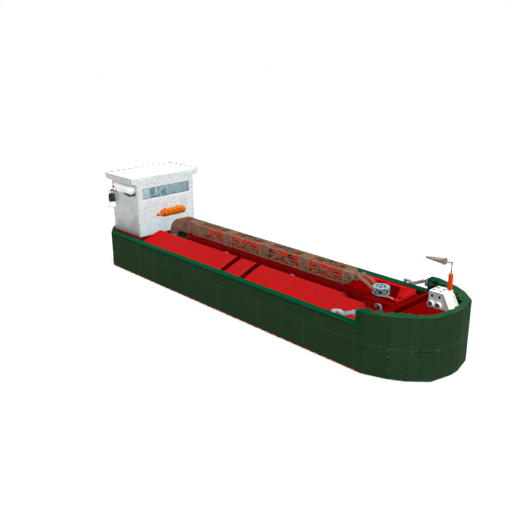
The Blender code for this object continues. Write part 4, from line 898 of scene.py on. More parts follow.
pump = {
    "station": 21.57, "coreRadius": 0.385, "cageRadius": 0.437, "barRadius": 0.029, "low": 2.965,
    "high": 3.355,
    "corners": 12, "crossings": 6, "reach": 60, "hoop": (0.36, 0.470, 0.045), "lidRadius": 0.38,
    "holes": 6, "holeCircle": 0.235, "holeRadius": 0.080, "tubeSide": 0.25, "stubRadius": 0.096,
    "flanges": (((20.42, 3.55), (20.70, 3.46), 0.25), ((21.00, 3.30), (21.20, 3.19), 0.72)),
}
x, low, high, corners = at(pump["station"]), pump["low"], pump["high"], pump["corners"]


def onPump(degrees, radius):
    return x + radius * math.cos(math.radians(degrees)), radius * math.sin(math.radians(degrees))


def cageBars():
    # two sets of bars wind round the drum in opposite ways, so that diamonds stand between them
    made = []
    for way in (-1, 1):
        for i in range(pump["crossings"]):
            places = [(*onPump(360 / pump["crossings"] * i + way * pump["reach"] * step / 4,
                               pump["cageRadius"]),
                       low + 0.02 + (high - low - 0.04) * step / 4) for step in range(5)]
            made.append(bentTube(places, pump["barRadius"], 8))
    return made


wide = pump["coreRadius"]
core = spunUp((x, 0, low), upward, ((0, wide - 0.03), (0.03, wide), (0.35, wide), (0.38, wide - 0.03)),
              corners)
pumpParts = coats("darkSteel", core) + coats("steel", joined(cageBars()))
pumpParts += coats("steel", *[washer((x, 0, height), upward, *pump["hoop"], corners)
                              for height in (low + 0.01, high - 0.01)])
lidRings = ((0, pump["lidRadius"]), (0.025, pump["lidRadius"]), (0.04, pump["lidRadius"] - 0.03))
pumpParts += coats("steel", spunUp((x, 0, high - 0.02), upward, lidRings, corners))
wide = pump["holeRadius"]
for place in [(x, 0)] + [onPump(a, pump["holeCircle"]) for a in range(0, 360, 360 // pump["holes"])]:
    pumpParts += coats("steel", washer((*place, high + 0.019), upward, wide, wide + 0.016, 0.012, 12))
    # painted shade: a black disc inside each ring stands for the dark inside of a hole
    pumpParts += coats("black", disc((*place, high + 0.012), upward, wide, 0.010, 12))
for side in sides.values():
    y = side * pump["tubeSide"]
    pumpParts += coats("boom", bentTube([(at(21.16), y, 3.212), (at(21.24), y, 3.175),
                                         (at(21.44), y - side * 0.05, 3.16)], pump["stubRadius"], 14))
    for first, second, share in pump["flanges"]:
        first, second = [Vector((at(station), y, height)) for station, height in (first, second)]
        pumpParts += coats("boom", washer(first.lerp(second, share), second - first, 0.098, 0.124, 0.03, 20))
pumpCage = fitted("pumpCage", pumpParts, "pump")
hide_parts("pump_head")
print("tanker: pump head")


# Swinging arms: a sleeve with two rings over each bend, a flange, a belt and nozzle on the ball, and a pin cap

arm = {
    "pin": (22.40, 3.12), "collarTop": 3.15, "ball": (21.02, 3.16, 2.72),
    "route": ((22.25, 3.12, 3.02), (21.56, 3.10, 2.70), (21.22, 3.10, 2.79)),
}


def armTrim(word, side, finishName):
    first, bend, end = [Vector((at(s), side * d, z)) for s, d, z in arm["route"]]
    made = [washer(first.lerp(bend, share), bend - first, 0.100, 0.116, 0.03, 16) for share in (0.10, 0.90)]
    made.append(bentTube([first.lerp(bend, 0.04), bend, bend.lerp(end, 0.8)], 0.104, 12))
    made.append(washer(bend.lerp(end, 0.62), end - bend, 0.073, 0.110, 0.028, 18))
    ball = Vector((at(arm["ball"][0]), side * arm["ball"][1], arm["ball"][2]))
    made.append(washer(ball, (0.10, 0, 1), 0.106, 0.122, 0.03, 20))
    out = Vector((-1, side * 0.30, -0.08)).normalized()
    made.append(spunUp(ball + out * 0.06, out, ((0, 0.088), (0.07, 0.088), (0.08, 0.080)), 18))
    # painted shade: a black disc on the nozzle's end stands for its dark bore
    mouth = coats("black", disc(ball + out * 0.138, out, 0.064, 0.006, 16))
    made.append(spunUp((at(arm["pin"][0]), side * arm["pin"][1], arm["collarTop"] - 0.003), upward,
                       ((0, 0.075), (0.015, 0.075), (0.03, 0.045)), 18))
    fitted(f"armTrim{word.capitalize()}", coats(finishName, joined(made)) + mouth, f"arm_{word}")


armTrim("starboard", -1, "steel")
armTrim("port", 1, "armSteel")


# Deck pipes: the starboard vents with a flange, a bent pipe, a rim and gauze; a grab pipe and the arms' seats

vents = {
    "stations": (4.70, 10.34, 16.20, 22.38), "side": -1.08, "reach": 0.34, "mouthZ": 2.62,
    "pipeRadius": 0.0635,
    "route": ((0, 2.23), (0, 2.72), (0.025, 2.775), (0.09, 2.80), (0.25, 2.80), (0.315, 2.775), (0.34, 2.72),
              (0.34, 2.622)),
    "grab": ((21.16, 2.30), (21.17, 2.36), (21.25, 2.40), (21.52, 2.40), (21.60, 2.36), (21.61, 2.30)),
}
ventParts, y = [], vents["side"]
for station in vents["stations"]:
    x = at(station)
    ventParts += coats("deck", washer((x, y, 2.212), upward, 0.058, 0.11, 0.024, 16))
    ventParts += coats("ventSteel", bentTube([(x - aft, y, z) for aft, z in vents["route"]],
                                             vents["pipeRadius"], 12))
    x, z = x - vents["reach"], vents["mouthZ"]
    ventParts += coats("black", washer((x, y, z), upward, 0.058, 0.078, 0.022, 16),
                       spunUp((x, y, z - 0.006), (0, 0, -1), ((-0.004, 0.056), (0.001, 0.056)), 14))
ventParts += coats("steel", bentTube([(at(s), 1.04, z) for s, z in vents["grab"]], 0.030, 10))
for side in sides.values():
    ventParts += coats("steel", washer((at(arm["pin"][0]), side * arm["pin"][1], 2.875), upward, 0.098, 0.112,
                                       0.05, 22))
fitted("deckPipes", ventParts, "hull")
print("tanker: arms and deck pipes")


# Tank covers: raised joint straps, hinges on the trench side and a rim at both ends of each lid

covers = {
    "runs": ((3.35, 11.64), (12.03, 13.42), (13.80, 20.20)), "strapStep": 1.72, "strapStart": 0.86,
    "profile": ((1.198, 2.60), (1.198, 2.782), (1.268, 2.922), (1.42, 2.982), (1.65, 2.932), (2.30, 2.702),
                (2.86, 2.487)),
    "strapWidth": 0.05, "strapThick": 0.005,
}
coverParts, step = [], covers["strapStep"]
for side in sides.values():
    for aft, fore in covers["runs"]:
        x = math.ceil((at(aft) + 0.25 - covers["strapStart"]) / step) * step + covers["strapStart"]
        while x < at(fore) - 0.2:
            points = [(x, side * y, z) for y, z in covers["profile"]]
            coverParts.append(strap(points, covers["strapWidth"], covers["strapThick"]))
            coverParts.append(plate((x - 0.10, side * 1.165, 2.60), (x + 0.10, side * 1.20, 2.74), 0.008))
            coverParts.append(bar((x - 0.13, side * 1.172, 2.735), (x + 0.13, side * 1.172, 2.735), 0.017))
            x += step
        for x in (at(aft) + 0.035, at(fore) - 0.035):
            points = [(x, side * y, z + 0.004) for y, z in covers["profile"]]
            coverParts.append(strap(points, covers["strapWidth"], covers["strapThick"] * 2))
fitted("coverTrim", coverParts, "hull", "cover")

# Side lockers: edge straps, a flap over the joint with the last lid, hinges along the ridge and a grip
lockers = {
    "edges": (20.33, 21.69), "profile": ((1.28, 2.33), (1.60, 2.892), (2.86, 2.477)),
    "flap": ((1.61, 2.885), (2.30, 2.655), (2.87, 2.440)), "flapStation": 20.25, "hinges": (20.66, 21.36),
    "grip": ((21.02, 1.42, 2.58), (21.02, 1.37, 2.61), (21.24, 1.37, 2.61), (21.24, 1.42, 2.58)),
}
lockerParts = []
for side in sides.values():
    for station in lockers["edges"]:
        lockerParts.append(strap([(at(station), side * y, z) for y, z in lockers["profile"]], 0.05, 0.008))
    lockerParts.append(strap([(at(lockers["flapStation"]), side * y, z) for y, z in lockers["flap"]], 0.22,
                             0.055))
    y, z = side * lockers["profile"][1][0], lockers["profile"][1][1]
    for station in lockers["hinges"]:
        lockerParts.append(bar((at(station) - 0.10, y, z), (at(station) + 0.10, y, z), 0.018))
    lockerParts.append(bentTube([(at(s), side * y, z) for s, y, z in lockers["grip"]], 0.012, 8))
fitted("lockerTrim", lockerParts, "hull", "cover")

# Hatch frames: a coaming strip that slopes with the locker's fore end, an edge strip and a row of bolts
hatchFrame = {"inner": (0.98, 2.30), "outer": (2.90, 2.45), "aft": 20.25, "fore": 21.90, "lockerFore": 21.73}
frameParts = []
(innerY, innerZ), (outerY, outerZ) = hatchFrame["inner"], hatchFrame["outer"]
slope, reach = math.atan2(outerZ - innerZ, outerY - innerY), math.hypot(outerZ - innerZ, outerY - innerY) / 2
width = (hatchFrame["fore"] - hatchFrame["lockerFore"]) / 2
for side in sides.values():
    frameParts.append(laid(plate((-width, -reach, -0.004), (width, reach, 0.014), 0.005),
                           (side * slope, 0, 0),
                           (at(hatchFrame["fore"]) - width, side * (innerY + outerY) / 2,
                            (innerZ + outerZ) / 2)))
    frameParts.append(plate((at(hatchFrame["aft"]), side * innerY, innerZ - 0.01),
                            (at(hatchFrame["fore"]), side * (innerY + 0.06), innerZ + 0.012), 0.006))
    frameParts.append(rowOf(boltHead((at(20.40), side * 1.01, 2.315), upward, 0.016), (0.19, 0, 0), 4))
fitted("frameTrim", frameParts, "hull", "cover")

# Bow bulwark: tapered knees under the rail at every corner and halfway between
bow = {
    "plan": ((22.55, 3.41), (23.05, 3.41), (24.30, 2.96), (25.10, 2.48), (25.97, 1.64), (26.28, 0.30)),
    "rail": 0.36,
    "kneeReach": 0.30, "kneeHalf": 0.36, "kneeDrop": 0.26, "heights": (3.30, 3.40), "between": 0.9,
    "house": (-1.9, 0.9),
}


def railTop(x):
    (low, high), aft, fore = bow["heights"], bow["plan"][0][0], bow["plan"][-1][0]
    return low + (high - low) * (x - at(aft)) / (fore - aft)


def kneePlaces():
    # places on the rail's inner line and the way inward at each
    path = [Vector((at(s), -y)) for s, y in bow["plan"]]
    path += [Vector((at(s), y)) for s, y in reversed(bow["plan"])]
    inward = [Vector((-(q - p).y, (q - p).x)).normalized() for p, q in zip(path, path[1:])]
    places = []
    for i, (p, q) in enumerate(zip(path, path[1:])):
        if i:
            both = (inward[i - 1] + inward[i]) / (1 + inward[i - 1].dot(inward[i]))
            places.append((p + both * bow["rail"], both.normalized()))
        if (q - p).length > bow["between"]:
            places.append(((p + q) / 2 + inward[i] * bow["rail"], inward[i]))
    # none over the house's fore side
    return [(place, way) for place, way in places if not bow["house"][0] < place.y < bow["house"][1]]


def bulwarkKnee(place, way):
    # a plate whose inner edge narrows to a point above and draws back below
    reach, half, drop = bow["kneeReach"], bow["kneeHalf"], bow["kneeDrop"]
    knee = plate((-0.03, -half, -drop), (reach, half, -0.003))
    editChosen(knee, "vertices", lambda vertex: vertex.co.x > 0.1)
    bpy.ops.transform.resize(value=(1, 0.10, 1), center_override=(reach, 0, 0))
    editChosen(knee, "vertices", lambda vertex: vertex.co.x > 0.1 and vertex.co.z < -0.1)
    bpy.ops.transform.translate(value=(-reach, 0, 0))
    setMode("OBJECT")
    return laid(knee, (0, 0, math.atan2(way.y, way.x)), (place.x, place.y, railTop(place.x)))


fitted("bulwarkKnees", [bulwarkKnee(place, way) for place, way in kneePlaces()], "hull", "hull")
print("tanker: covers, lockers and bulwark knees")


# Wheelhouse: window seals, bolt rows, corner and drip strips, sill, rain strip, door trim and an air louvre

house = {
    "aft": -0.95, "fore": 2.35, "half": 2.47, "top": 6.30, "drip": 6.262, "boltStep": 0.33, "boltSize": 0.030,
    "panes": ((2.302, 2.05, (5.13, 5.90)), (-0.902, 1.40, (5.13, 5.80))), "sealWidth": 0.035,
    "sealHalf": 0.015,
    "louvre": ((-0.60, -0.53, 2.95, 3.77), (0.53, 0.60, 2.95, 3.77), (-0.53, 0.53, 2.95, 3.01),
               (-0.53, 0.53, 3.71, 3.77)), "slats": 7,
}
sealParts, thick = [], house["sealHalf"]
for station, half, heights in house["panes"]:
    x = at(station)
    sealParts += frameBars("x", (x - thick, x + thick), (-half, half), heights, house["sealWidth"], 0.006)
fitted("windowSeals", sealParts, "hull", "rubber")

foreX, aftX, halfY = at(house["fore"]), at(house["aft"]), house["half"]
step, size, faces = house["boltStep"], house["boltSize"], ((foreX, 1), (aftX, -1))
# bolt rows: under the eave, at the joint of the two floors and beside each corner
rows = [((x, -2.30, z), (way, 0, 0), (0, step, 0), 15) for x, way in faces for z in (6.18, 4.50)]
rows += [((x, y, 2.70), (way, 0, 0), (0, 0, step), 11) for y in (-2.36, 2.36) for x, way in faces]
for side in sides.values():
    rows += [((x, side * halfY, 2.70), (0, side, 0), (0, 0, step), 11) for x in (aftX + 0.11, foreX - 0.26)]
    rows.append(((aftX + 0.20, side * halfY, 6.18), (0, side, 0), (step, 0, 0), 9))
boltRings = ((-0.002, size), (0.006, size * 0.9), (0.011, size * 0.5))
fitted("wallBolts", [rowOf(spunUp(place, direction, boltRings, 7), move, count)
                     for place, direction, move, count in rows], "hull", "boltSteel")

top, drip = house["top"], house["drip"]
wallParts = [plate((foreX - 0.16, side * halfY, 2.46), (foreX - 0.10, side * (halfY + 0.008), top), 0.003)
             for side in sides.values()]
wallParts.append(plate((foreX, -2.49, drip), (foreX + 0.03, 2.49, top), 0.008))
wallParts.append(plate((foreX, -2.12, 5.045), (foreX + 0.055, 2.12, 5.125), 0.010))
wallParts.append(plate((aftX - 0.03, -2.49, drip), (aftX, 2.49, top), 0.008))
for side in sides.values():
    wallParts.append(plate((aftX - 0.03, side * 2.47, drip), (foreX + 0.03, side * 2.50, top), 0.008))
wallParts.append(plate((at(0.08), 2.47, 4.50), (at(1.10), 2.55, 4.53), 0.008))
for y0, y1, z0, z1 in house["louvre"]:
    wallParts.append(plate((aftX - 0.045, y0, z0), (aftX, y1, z1), 0.006))
slat = plate((-0.004, -0.53, -0.055), (0.004, 0.53, 0.055), 0.002)
wallParts.append(rowOf(laid(slat, (0, math.radians(40), 0), (aftX - 0.020, 0, 3.06)), (0, 0, 0.099),
                       house["slats"]))
fitted("wallTrim", wallParts, "hull", "wall")

# door furniture rides with the door
doorParts = coats("rubber", *frameBars("y", (2.522, 2.536), (at(0.35), at(0.83)), (3.67, 4.18), 0.03, 0.004))
lever = bentTube([(at(0.26), 2.524, 3.45), (at(0.26), 2.575, 3.45), (at(0.40), 2.575, 3.45)], 0.012, 8)
rose = spunUp((at(0.26), 2.524, 3.45), toPort, ((0, 0.035), (0.008, 0.035), (0.012, 0.025)), 16)
doorParts += coats("darkSteel", lever, rose)
doorParts += coats("steel", plate((at(0.20), 2.5255, 2.62), (at(0.98), 2.530, 2.90), 0.002))
doorParts += coats("darkSteel", *[boltHead((at(0.93), 2.558, z), toPort, 0.010) for z in (2.995, 4.045)])
fitted("doorTrim", doorParts, "door")
print("tanker: wheelhouse walls and door")


# Bridge: helm wheel, desk, padded seat and the stairs beside the door

helm = {
    "station": 1.56, "side": 0.17, "z": 5.22, "ring": 0.40, "bar": 0.026, "spokes": (45, 135, 225, 315),
    "spoke": ((0, 0.050), (0.20, 0.045), (0.40, 0.045)),
    "handle": ((0, 0.018), (0.03, 0.026), (0.09, 0.030), (0.12, 0.022), (0.13, 0.010)),
    "hub": ((0, 0.03), (0.012, 0.055), (0.05, 0.07), (0.32, 0.06)),
}


def hoop(radius, thick, place, around, along):
    # a ring that faces forward
    clearSelection()
    bpy.ops.mesh.primitive_torus_add(major_radius=radius, minor_radius=thick, major_segments=around,
                                     minor_segments=along, location=place, rotation=(0, math.radians(90), 0))
    return settle(bpy.context.object)


centre = Vector((at(helm["station"]), helm["side"], helm["z"]))
helmParts = coats("plastic", hoop(helm["ring"], helm["bar"], centre, 40, 10))
for turn in map(math.radians, helm["spokes"]):
    out = Vector((0, math.cos(turn), math.sin(turn)))
    helmParts += coats("black", spunUp(centre, out, helm["spoke"], 10))
    helmParts += coats("wood", spunUp(centre + out * 0.41, out, helm["handle"], 12))
helmParts += coats("darkSteel", spunUp(centre + Vector((-0.05, 0, 0)), ahead, helm["hub"], 20))
helmWheel = fitted("helmWheel", helmParts, "hull")
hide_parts("helm_wheel")

desk = {
    "station": 1.98, "top": 4.955, "slope": math.atan2(0.12, 0.36), "screens": (-0.72, 0.62),
    "levers": (-0.38, 0.28),
    "lever": ((0, 0.02), (0.02, 0.012), (0.16, 0.012), (0.17, 0.026), (0.21, 0.026), (0.22, 0.012)),
    "dials": (-0.20, -0.10, 0.10, 0.45, 0.86, -0.93),
    "dial": ((-0.02, 0.032), (0.012, 0.032), (0.018, 0.026)),
}


def onDesk(station, y, length, width, thick):
    # a thing that lies on the desk's slope
    piece = plate((-length / 2, -width / 2, -0.004), (length / 2, width / 2, thick), 0.006)
    rise = (station - desk["station"]) * math.tan(desk["slope"])
    return laid(piece, (0, -desk["slope"], 0), (at(station), y, desk["top"] + rise))


deskParts = []
for y in desk["screens"]:
    deskParts += coats("rubber", onDesk(2.0, y, 0.24, 0.36, 0.025))
    deskParts += coats("screen", onDesk(2.0, y, 0.20, 0.31, 0.029))
for y in desk["levers"]:
    deskParts += coats("darkSteel", spunUp((at(1.96), y, 4.96), (-0.25, 0, 1), desk["lever"], 12))
    deskParts += coats("black", onDesk(1.97, y, 0.22, 0.07, 0.012))
deskParts += coats("black", *[spunUp((at(2.10), y, 5.03), (-0.3, 0, 1), desk["dial"], 16)
                              for y in desk["dials"]])
# two crossed stays between the console and the wheel's post
x, y = at(1.74), helm["side"] - 0.06
deskParts += coats("black", *[bar((x, y - reach, 4.96), (x, y + reach, 5.46), 0.034)
                              for reach in (-0.26, 0.26)])
fitted("deskTrim", deskParts, "hull")

seat = {
    "station": 0.55, "side": 0.17, "crown": 0.144,
    "cushions": {"seatCushion": ((-0.22, -0.25, 4.62), (0.26, 0.25, 4.77)),
                 "seatBack": ((-0.30, -0.23, 4.78), (-0.19, 0.23, 5.36))},
    "stem": ((0, 0.22), (0.02, 0.22), (0.03, 0.07), (0.10, 0.05), (0.50, 0.05), (0.53, 0.12), (0.545, 0.12)),
    "plates": (((-0.21, -0.22, 4.592), (0.21, 0.22, 4.622), 0.008),
               ((-0.325, -0.05, 4.60), (-0.296, 0.05, 5.20), 0.006),
               ((-0.325, -0.05, 4.594), (-0.18, 0.05, 4.620), 0.006)),
    "armRest": ((-0.24, 4.62), (-0.24, 4.88), (0.12, 4.88)),
}
seatPlace = Vector((at(seat["station"]), seat["side"], 0))


def crowned(low, high, steps=4):
    # a padded form: a subdivided box whose faces are rounded out and whose corners are drawn in
    piece = plate(low, high)
    editAll(piece)
    bpy.ops.mesh.subdivide(number_cuts=steps)
    setMode("OBJECT")
    middle, half = (low + high) / 2, (high - low) / 2
    for vertex in piece.data.vertices:
        share = [(vertex.co[i] - middle[i]) / half[i] for i in range(3)]
        for i in range(3):
            others = [abs(share[k]) for k in range(3) if k != i]
            crown = (1 - others[0] ** 2) * (1 - others[1] ** 2)
            vertex.co[i] -= share[i] * half[i] * (1 - crown) * seat["crown"]
    return useModifier(piece, "SUBSURF", levels=2, render_levels=2)


for name, (low, high) in seat["cushions"].items():
    cushion = crowned(seatPlace + Vector(low), seatPlace + Vector(high))
    piece = fitted(name, [cushion], "hull", "cushion", 60)
standParts = [spunUp(seatPlace + Vector((0, 0, 4.0603)), upward, seat["stem"], 24)]
standParts += [plate(seatPlace + Vector(low), seatPlace + Vector(high), edge)
               for low, high, edge in seat["plates"]]
for y in (-0.27, 0.27):
    standParts.append(bentTube([seatPlace + Vector((x, y, z)) for x, z in seat["armRest"]], 0.018, 8))
seatStand = fitted("seatStand", standParts, "hull", "plastic")
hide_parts("helm_seat")

stairs = {"treads": 6, "foot": 0.92, "rise": 0.23, "going": 0.235, "low": 2.45, "sides": (1.42, 2.25),
          "posts": (-0.62, 0.35, 1.32, 2.15), "railSide": 1.26, "rails": (4.54, 5.02)}
stairParts, (near, far), foot = [], stairs["sides"], at(stairs["foot"])
for i in range(stairs["treads"]):
    x, z = foot - stairs["going"] * i, stairs["low"] + stairs["rise"] * (i + 1)
    stairParts.append(plate((x - 0.25, near, z - 0.03), (x, far, z), 0.006))
for y in (near - 0.015, far + 0.015):
    stairParts.append(bar((foot - 0.02, y, stairs["low"] + 0.06), (foot - 1.58, y, stairs["low"] + 1.58),
                          0.045, 6))
y, posts = stairs["railSide"], [at(station) for station in stairs["posts"]]
stairParts += [bar((x, y, 4.06), (x, y, 5.02), 0.02) for x in posts]
stairParts += [bar((posts[0], y, z), (posts[-1], y, z), 0.022) for z in stairs["rails"]]
fitted("cabinStairs", stairParts, "hull", "teal")
print("tanker: bridge")


# Gear on the walls: canister bands, capsule seam and straps, floodlight

canister = {"station": 2.65, "z": 3.95, "radius": 0.27, "bands": (-0.25, 0.30, 0.82), "clamps": (-0.25, 0.82),
            "beads": (-0.56, -0.44, 0.02, 0.56, 1.06, 1.16)}
x, z, radius = at(canister["station"]), canister["z"], canister["radius"]
bandParts = [washer((x, y, z), toPort, radius - 0.004, radius + 0.010, 0.07, 32) for y in canister["bands"]]
bandParts += [washer((x, y, z), toPort, radius - 0.006, radius + 0.006, 0.025, 32) for y in canister["beads"]]
bandParts.append(washer((x, -1.05, z - 0.04), toPort, 0.098, 0.116, 0.05, 20))
bandParts.append(spunUp((x, -1.118, z - 0.04), (0, -1, 0), ((0, 0.085), (0.02, 0.075), (0.03, 0.05)), 20))
fitted("canisterBands", bandParts, "hull", "orange")
# small clamps where the straps are bolted to the wall
clampParts = []
for y in canister["clamps"]:
    clampParts.append(plate((foreX, y - 0.04, 4.14), (foreX + 0.05, y + 0.04, 4.24), 0.008))
    clampParts.append(plate((foreX + 0.03, y - 0.02, 4.205), (x, y + 0.02, 4.232), 0.005))
fitted("canisterClamps", clampParts, "hull", "orange")

capsule = {"side": -2.78, "z": 5.84, "radius": 0.25, "bands": (0.35, 1.72), "ends": (0.04, 2.06),
           "seam": (0.06, 2.04)}
y, z, radius = capsule["side"], capsule["z"], capsule["radius"]
capsuleParts = [washer((at(s), y, z), ahead, radius - 0.004, radius + 0.006, 0.06, 32)
                for s in capsule["bands"]]
capsuleParts += [washer((at(s), y, z), ahead, radius - 0.008, radius + 0.010, 0.03, 32)
                 for s in capsule["ends"]]
for side in (-1, 1):
    (x0, x1), near, far = map(at, capsule["seam"]), y + side * (radius - 0.004), y + side * (radius + 0.010)
    capsuleParts.append(plate((x0, near, z - 0.014), (x1, far, z + 0.014), 0.004))
capsuleParts = coats("hood", *capsuleParts)
# a red valve cap near its aft end, and a dark wedge of a bracket below its fore end
capsuleParts += coats("red", spunUp((at(0.16), -3.0, 5.90), (0, -1, 0.15),
                                    ((0, 0.105), (0.045, 0.105), (0.055, 0.08)), 18))
wedge = plate((at(1.30), -2.98, 5.44), (at(2.10), -2.46, 5.585))
editChosen(wedge, "vertices", lambda vertex: vertex.co.x < at(1.5) and vertex.co.z < 5.5)
bpy.ops.transform.translate(value=(0, 0, 0.13))
setMode("OBJECT")
fitted("capsuleTrim", capsuleParts + coats("darkSteel", wedge), "hull")

lamp = {
    "station": -0.50, "side": -2.84, "fins": 7, "finLow": 4.74, "finStep": 0.07, "high": 5.218, "armZ": 5.51,
    "yoke": ((0, 5.51), (0.17, 5.47), (0.262, 5.36), (0.262, 4.98)), "knobZ": 4.98,
}
x, y = at(lamp["station"]), lamp["side"]
fins = [washer((x, y, lamp["finLow"] + lamp["finStep"] * i), upward, 0.205, 0.245, 0.024, 24)
        for i in range(lamp["fins"])]
lampParts = coats("black", *fins, spunUp((x, y, lamp["high"]), upward,
                                         ((0, 0.19), (0.04, 0.15), (0.06, 0.06)), 20))
# the yoke: two bent arms from the bracket's end down to the lamp's sides
for side in (-1, 1):
    lampParts += coats("lampTeal", bentTube([(x + side * out, y, z) for out, z in lamp["yoke"]], 0.026, 8))
    lampParts += coats("darkSteel", spunUp((x + side * 0.24, y, lamp["knobZ"]), (side, 0, 0),
                                           ((0, 0.045), (0.05, 0.045), (0.06, 0.03)), 14))
lampParts += coats("lampTeal", bar((x, y, 5.44), (x, y, 5.58), 0.05, 14),
                   bar((x, y, lamp["armZ"]), (x, -2.475, lamp["armZ"]), 0.038, 12))
lampParts += coats("black", washer((x, y, 4.302), upward, 0.300, 0.330, 0.022, 24))
lampParts += coats("glass", spunUp((x, y, 4.60), (0, 0, -1), ((-0.01, 0.17), (0.01, 0.16), (0.03, 0.10)), 20))
fitted("lampTrim", lampParts, "hull")
print("tanker: wall gear")


# Bow housing: hatch frames, port rims and the two round fittings

bowHouse = {
    "starboard": 1.31, "top": 3.37, "hatches": (23.88, 24.32), "hatchHalf": 0.075, "hatchLow": 3.035,
    "hatchHigh": 3.225,
    "ports": (23.83, 24.22), "portSides": (1.56, 1.92), "portRadius": 0.075, "fittings": (23.87, 24.31),
    "fittingZ": 2.69,
}
bowParts = []
y, z0, z1, half = bowHouse["starboard"], bowHouse["hatchLow"], bowHouse["hatchHigh"], bowHouse["hatchHalf"]
for x in map(at, bowHouse["hatches"]):
    # a frame, a black cover set just inside it, and a handle
    bowParts += coats("house", *frameBars("y", (y - 0.010, y + 0.004), (x - half - 0.02, x + half + 0.02),
                                          (z0 - 0.02, z1 + 0.02), 0.02, 0.003))
    bowParts += coats("black", plate((x - half, y + 0.012, z0), (x + half, y + 0.0795, z1), 0.006))
    bowParts += coats("rubber", bar((x - 0.03, y + 0.004, z0 + 0.05), (x + 0.03, y + 0.004, z0 + 0.05),
                                    0.008))
top, radius = bowHouse["top"], bowHouse["portRadius"]
for x in map(at, bowHouse["ports"]):
    for portY in bowHouse["portSides"]:
        bowParts += coats("black", washer((x, portY, top), upward, radius, radius + 0.012, 0.012, 18),
                          spunUp((x, portY, top - 0.049), upward,
                                 ((0, 0.074), (0.030, 0.074), (0.036, 0.055)), 16))
# each round fitting is a short pipe with a pale rim, a dark throat and two bars across it
z = bowHouse["fittingZ"]
for x in map(at, bowHouse["fittings"]):
    bowParts += coats("hood", washer((x, y - 0.118, z), (0, -1, 0), 0.138, 0.174, 0.045, 24))
    bowParts += coats("ventSteel", spunUp((x, y - 0.128, z), (0, -1, 0), ((-0.01, 0.137), (0.010, 0.137)),
                                          22))
    bowParts += coats("black", *[bar((x + shift, y - 0.142, z - 0.12), (x + shift, y - 0.142, z + 0.12), 0.014)
                                 for shift in (-0.045, 0.045)])
fitted("bowTrim", bowParts, "hull")

mast = {"station": 24.42, "side": 2.11, "top": 4.268, "low": 3.3823, "collar": 3.80, "clamp": 4.40}
mastX, mastY = at(mast["station"]), mast["side"]
mastParts = coats("mast", washer((mastX, mastY, mast["low"]), upward, 0.12, 0.127, 0.024, 24),
                  washer((mastX, mastY, mast["collar"]), upward, 0.122, 0.135, 0.03, 24),
                  spunUp((mastX, mastY, mast["top"]), upward, ((0, 0.12), (0.02, 0.10), (0.035, 0.05)), 20))
mastParts += coats("darkSteel", washer((mastX, mastY, mast["clamp"]), upward, 0.028, 0.045, 0.06, 12))
fitted("mastTrim", mastParts, "hull")

# Windsock: an open cone of cloth on a hoop, with bridle rods to the swivel
sock = {
    "mouth": 24.00, "z": 4.86, "length": 1.14, "mouthRadius": 0.183, "tailRadius": 0.052,
    "rings": 14, "gores": 24, "sag": 0.030, "ripple": 0.006, "hoop": 0.186, "swivel": 24.37, "rods": (90, 210, 330),
}
sockX, sockY, sockZ = at(sock["mouth"]), mastY, sock["z"]
clearSelection()
bpy.ops.mesh.primitive_cylinder_add(vertices=sock["gores"], radius=1, depth=1, end_fill_type="NOTHING",
                                    location=(0, 0, 0.5))
windsockCloth = settle(bpy.context.object)
heights = [vertex.co.z for vertex in windsockCloth.data.vertices]
editChosen(windsockCloth, "edges", lambda edge: heights[edge.vertices[0]] != heights[edge.vertices[1]])
bpy.ops.mesh.subdivide(number_cuts=sock["rings"])
setMode("OBJECT")
for vertex in windsockCloth.data.vertices:
    along, turn = vertex.co.z, math.atan2(vertex.co.y, vertex.co.x)
    radius = sock["mouthRadius"] + (sock["tailRadius"] - sock["mouthRadius"]) * along
    radius += sock["ripple"] * math.sin(along * math.pi) * math.cos(6 * turn + 5 * along)
    vertex.co = (sockX - 0.002 - sock["length"] * along, sockY + radius * math.sin(turn),
                 sockZ + radius * math.cos(turn) - sock["sag"] * along * along)
fitted("windsockCloth", [outward(windsockCloth)], "windsock", "sock", 60)
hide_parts("windsock")
sockParts, radius = [hoop(sock["hoop"], 0.012, (sockX + 0.006, sockY, sockZ), 28, 8)], sock["hoop"]
for turn in map(math.radians, sock["rods"]):
    rim = (sockX + 0.01, sockY + radius * math.cos(turn), sockZ + radius * math.sin(turn))
    sockParts.append(bar(rim, (at(sock["swivel"]), sockY, sockZ), 0.010, 6))
sockParts.append(spunUp((mastX, sockY, sockZ + 0.058), upward, ((0, 0.045), (0.02, 0.03), (0.03, 0.012)), 12))
# painted shade: a black disc inside the mouth stands for the dark inside of the cloth cone
throat = disc((sockX - 0.03, sockY, sockZ), (-1, 0, 0), 0.168, 0.004, 20)
fitted("windsockTrim", coats("darkSteel", joined(sockParts)) + coats("black", throat), "windsock")
print("tanker: bow and windsock")


# Stern: shaft seal, rudder bearing, anodes, propeller nut and rudder bands

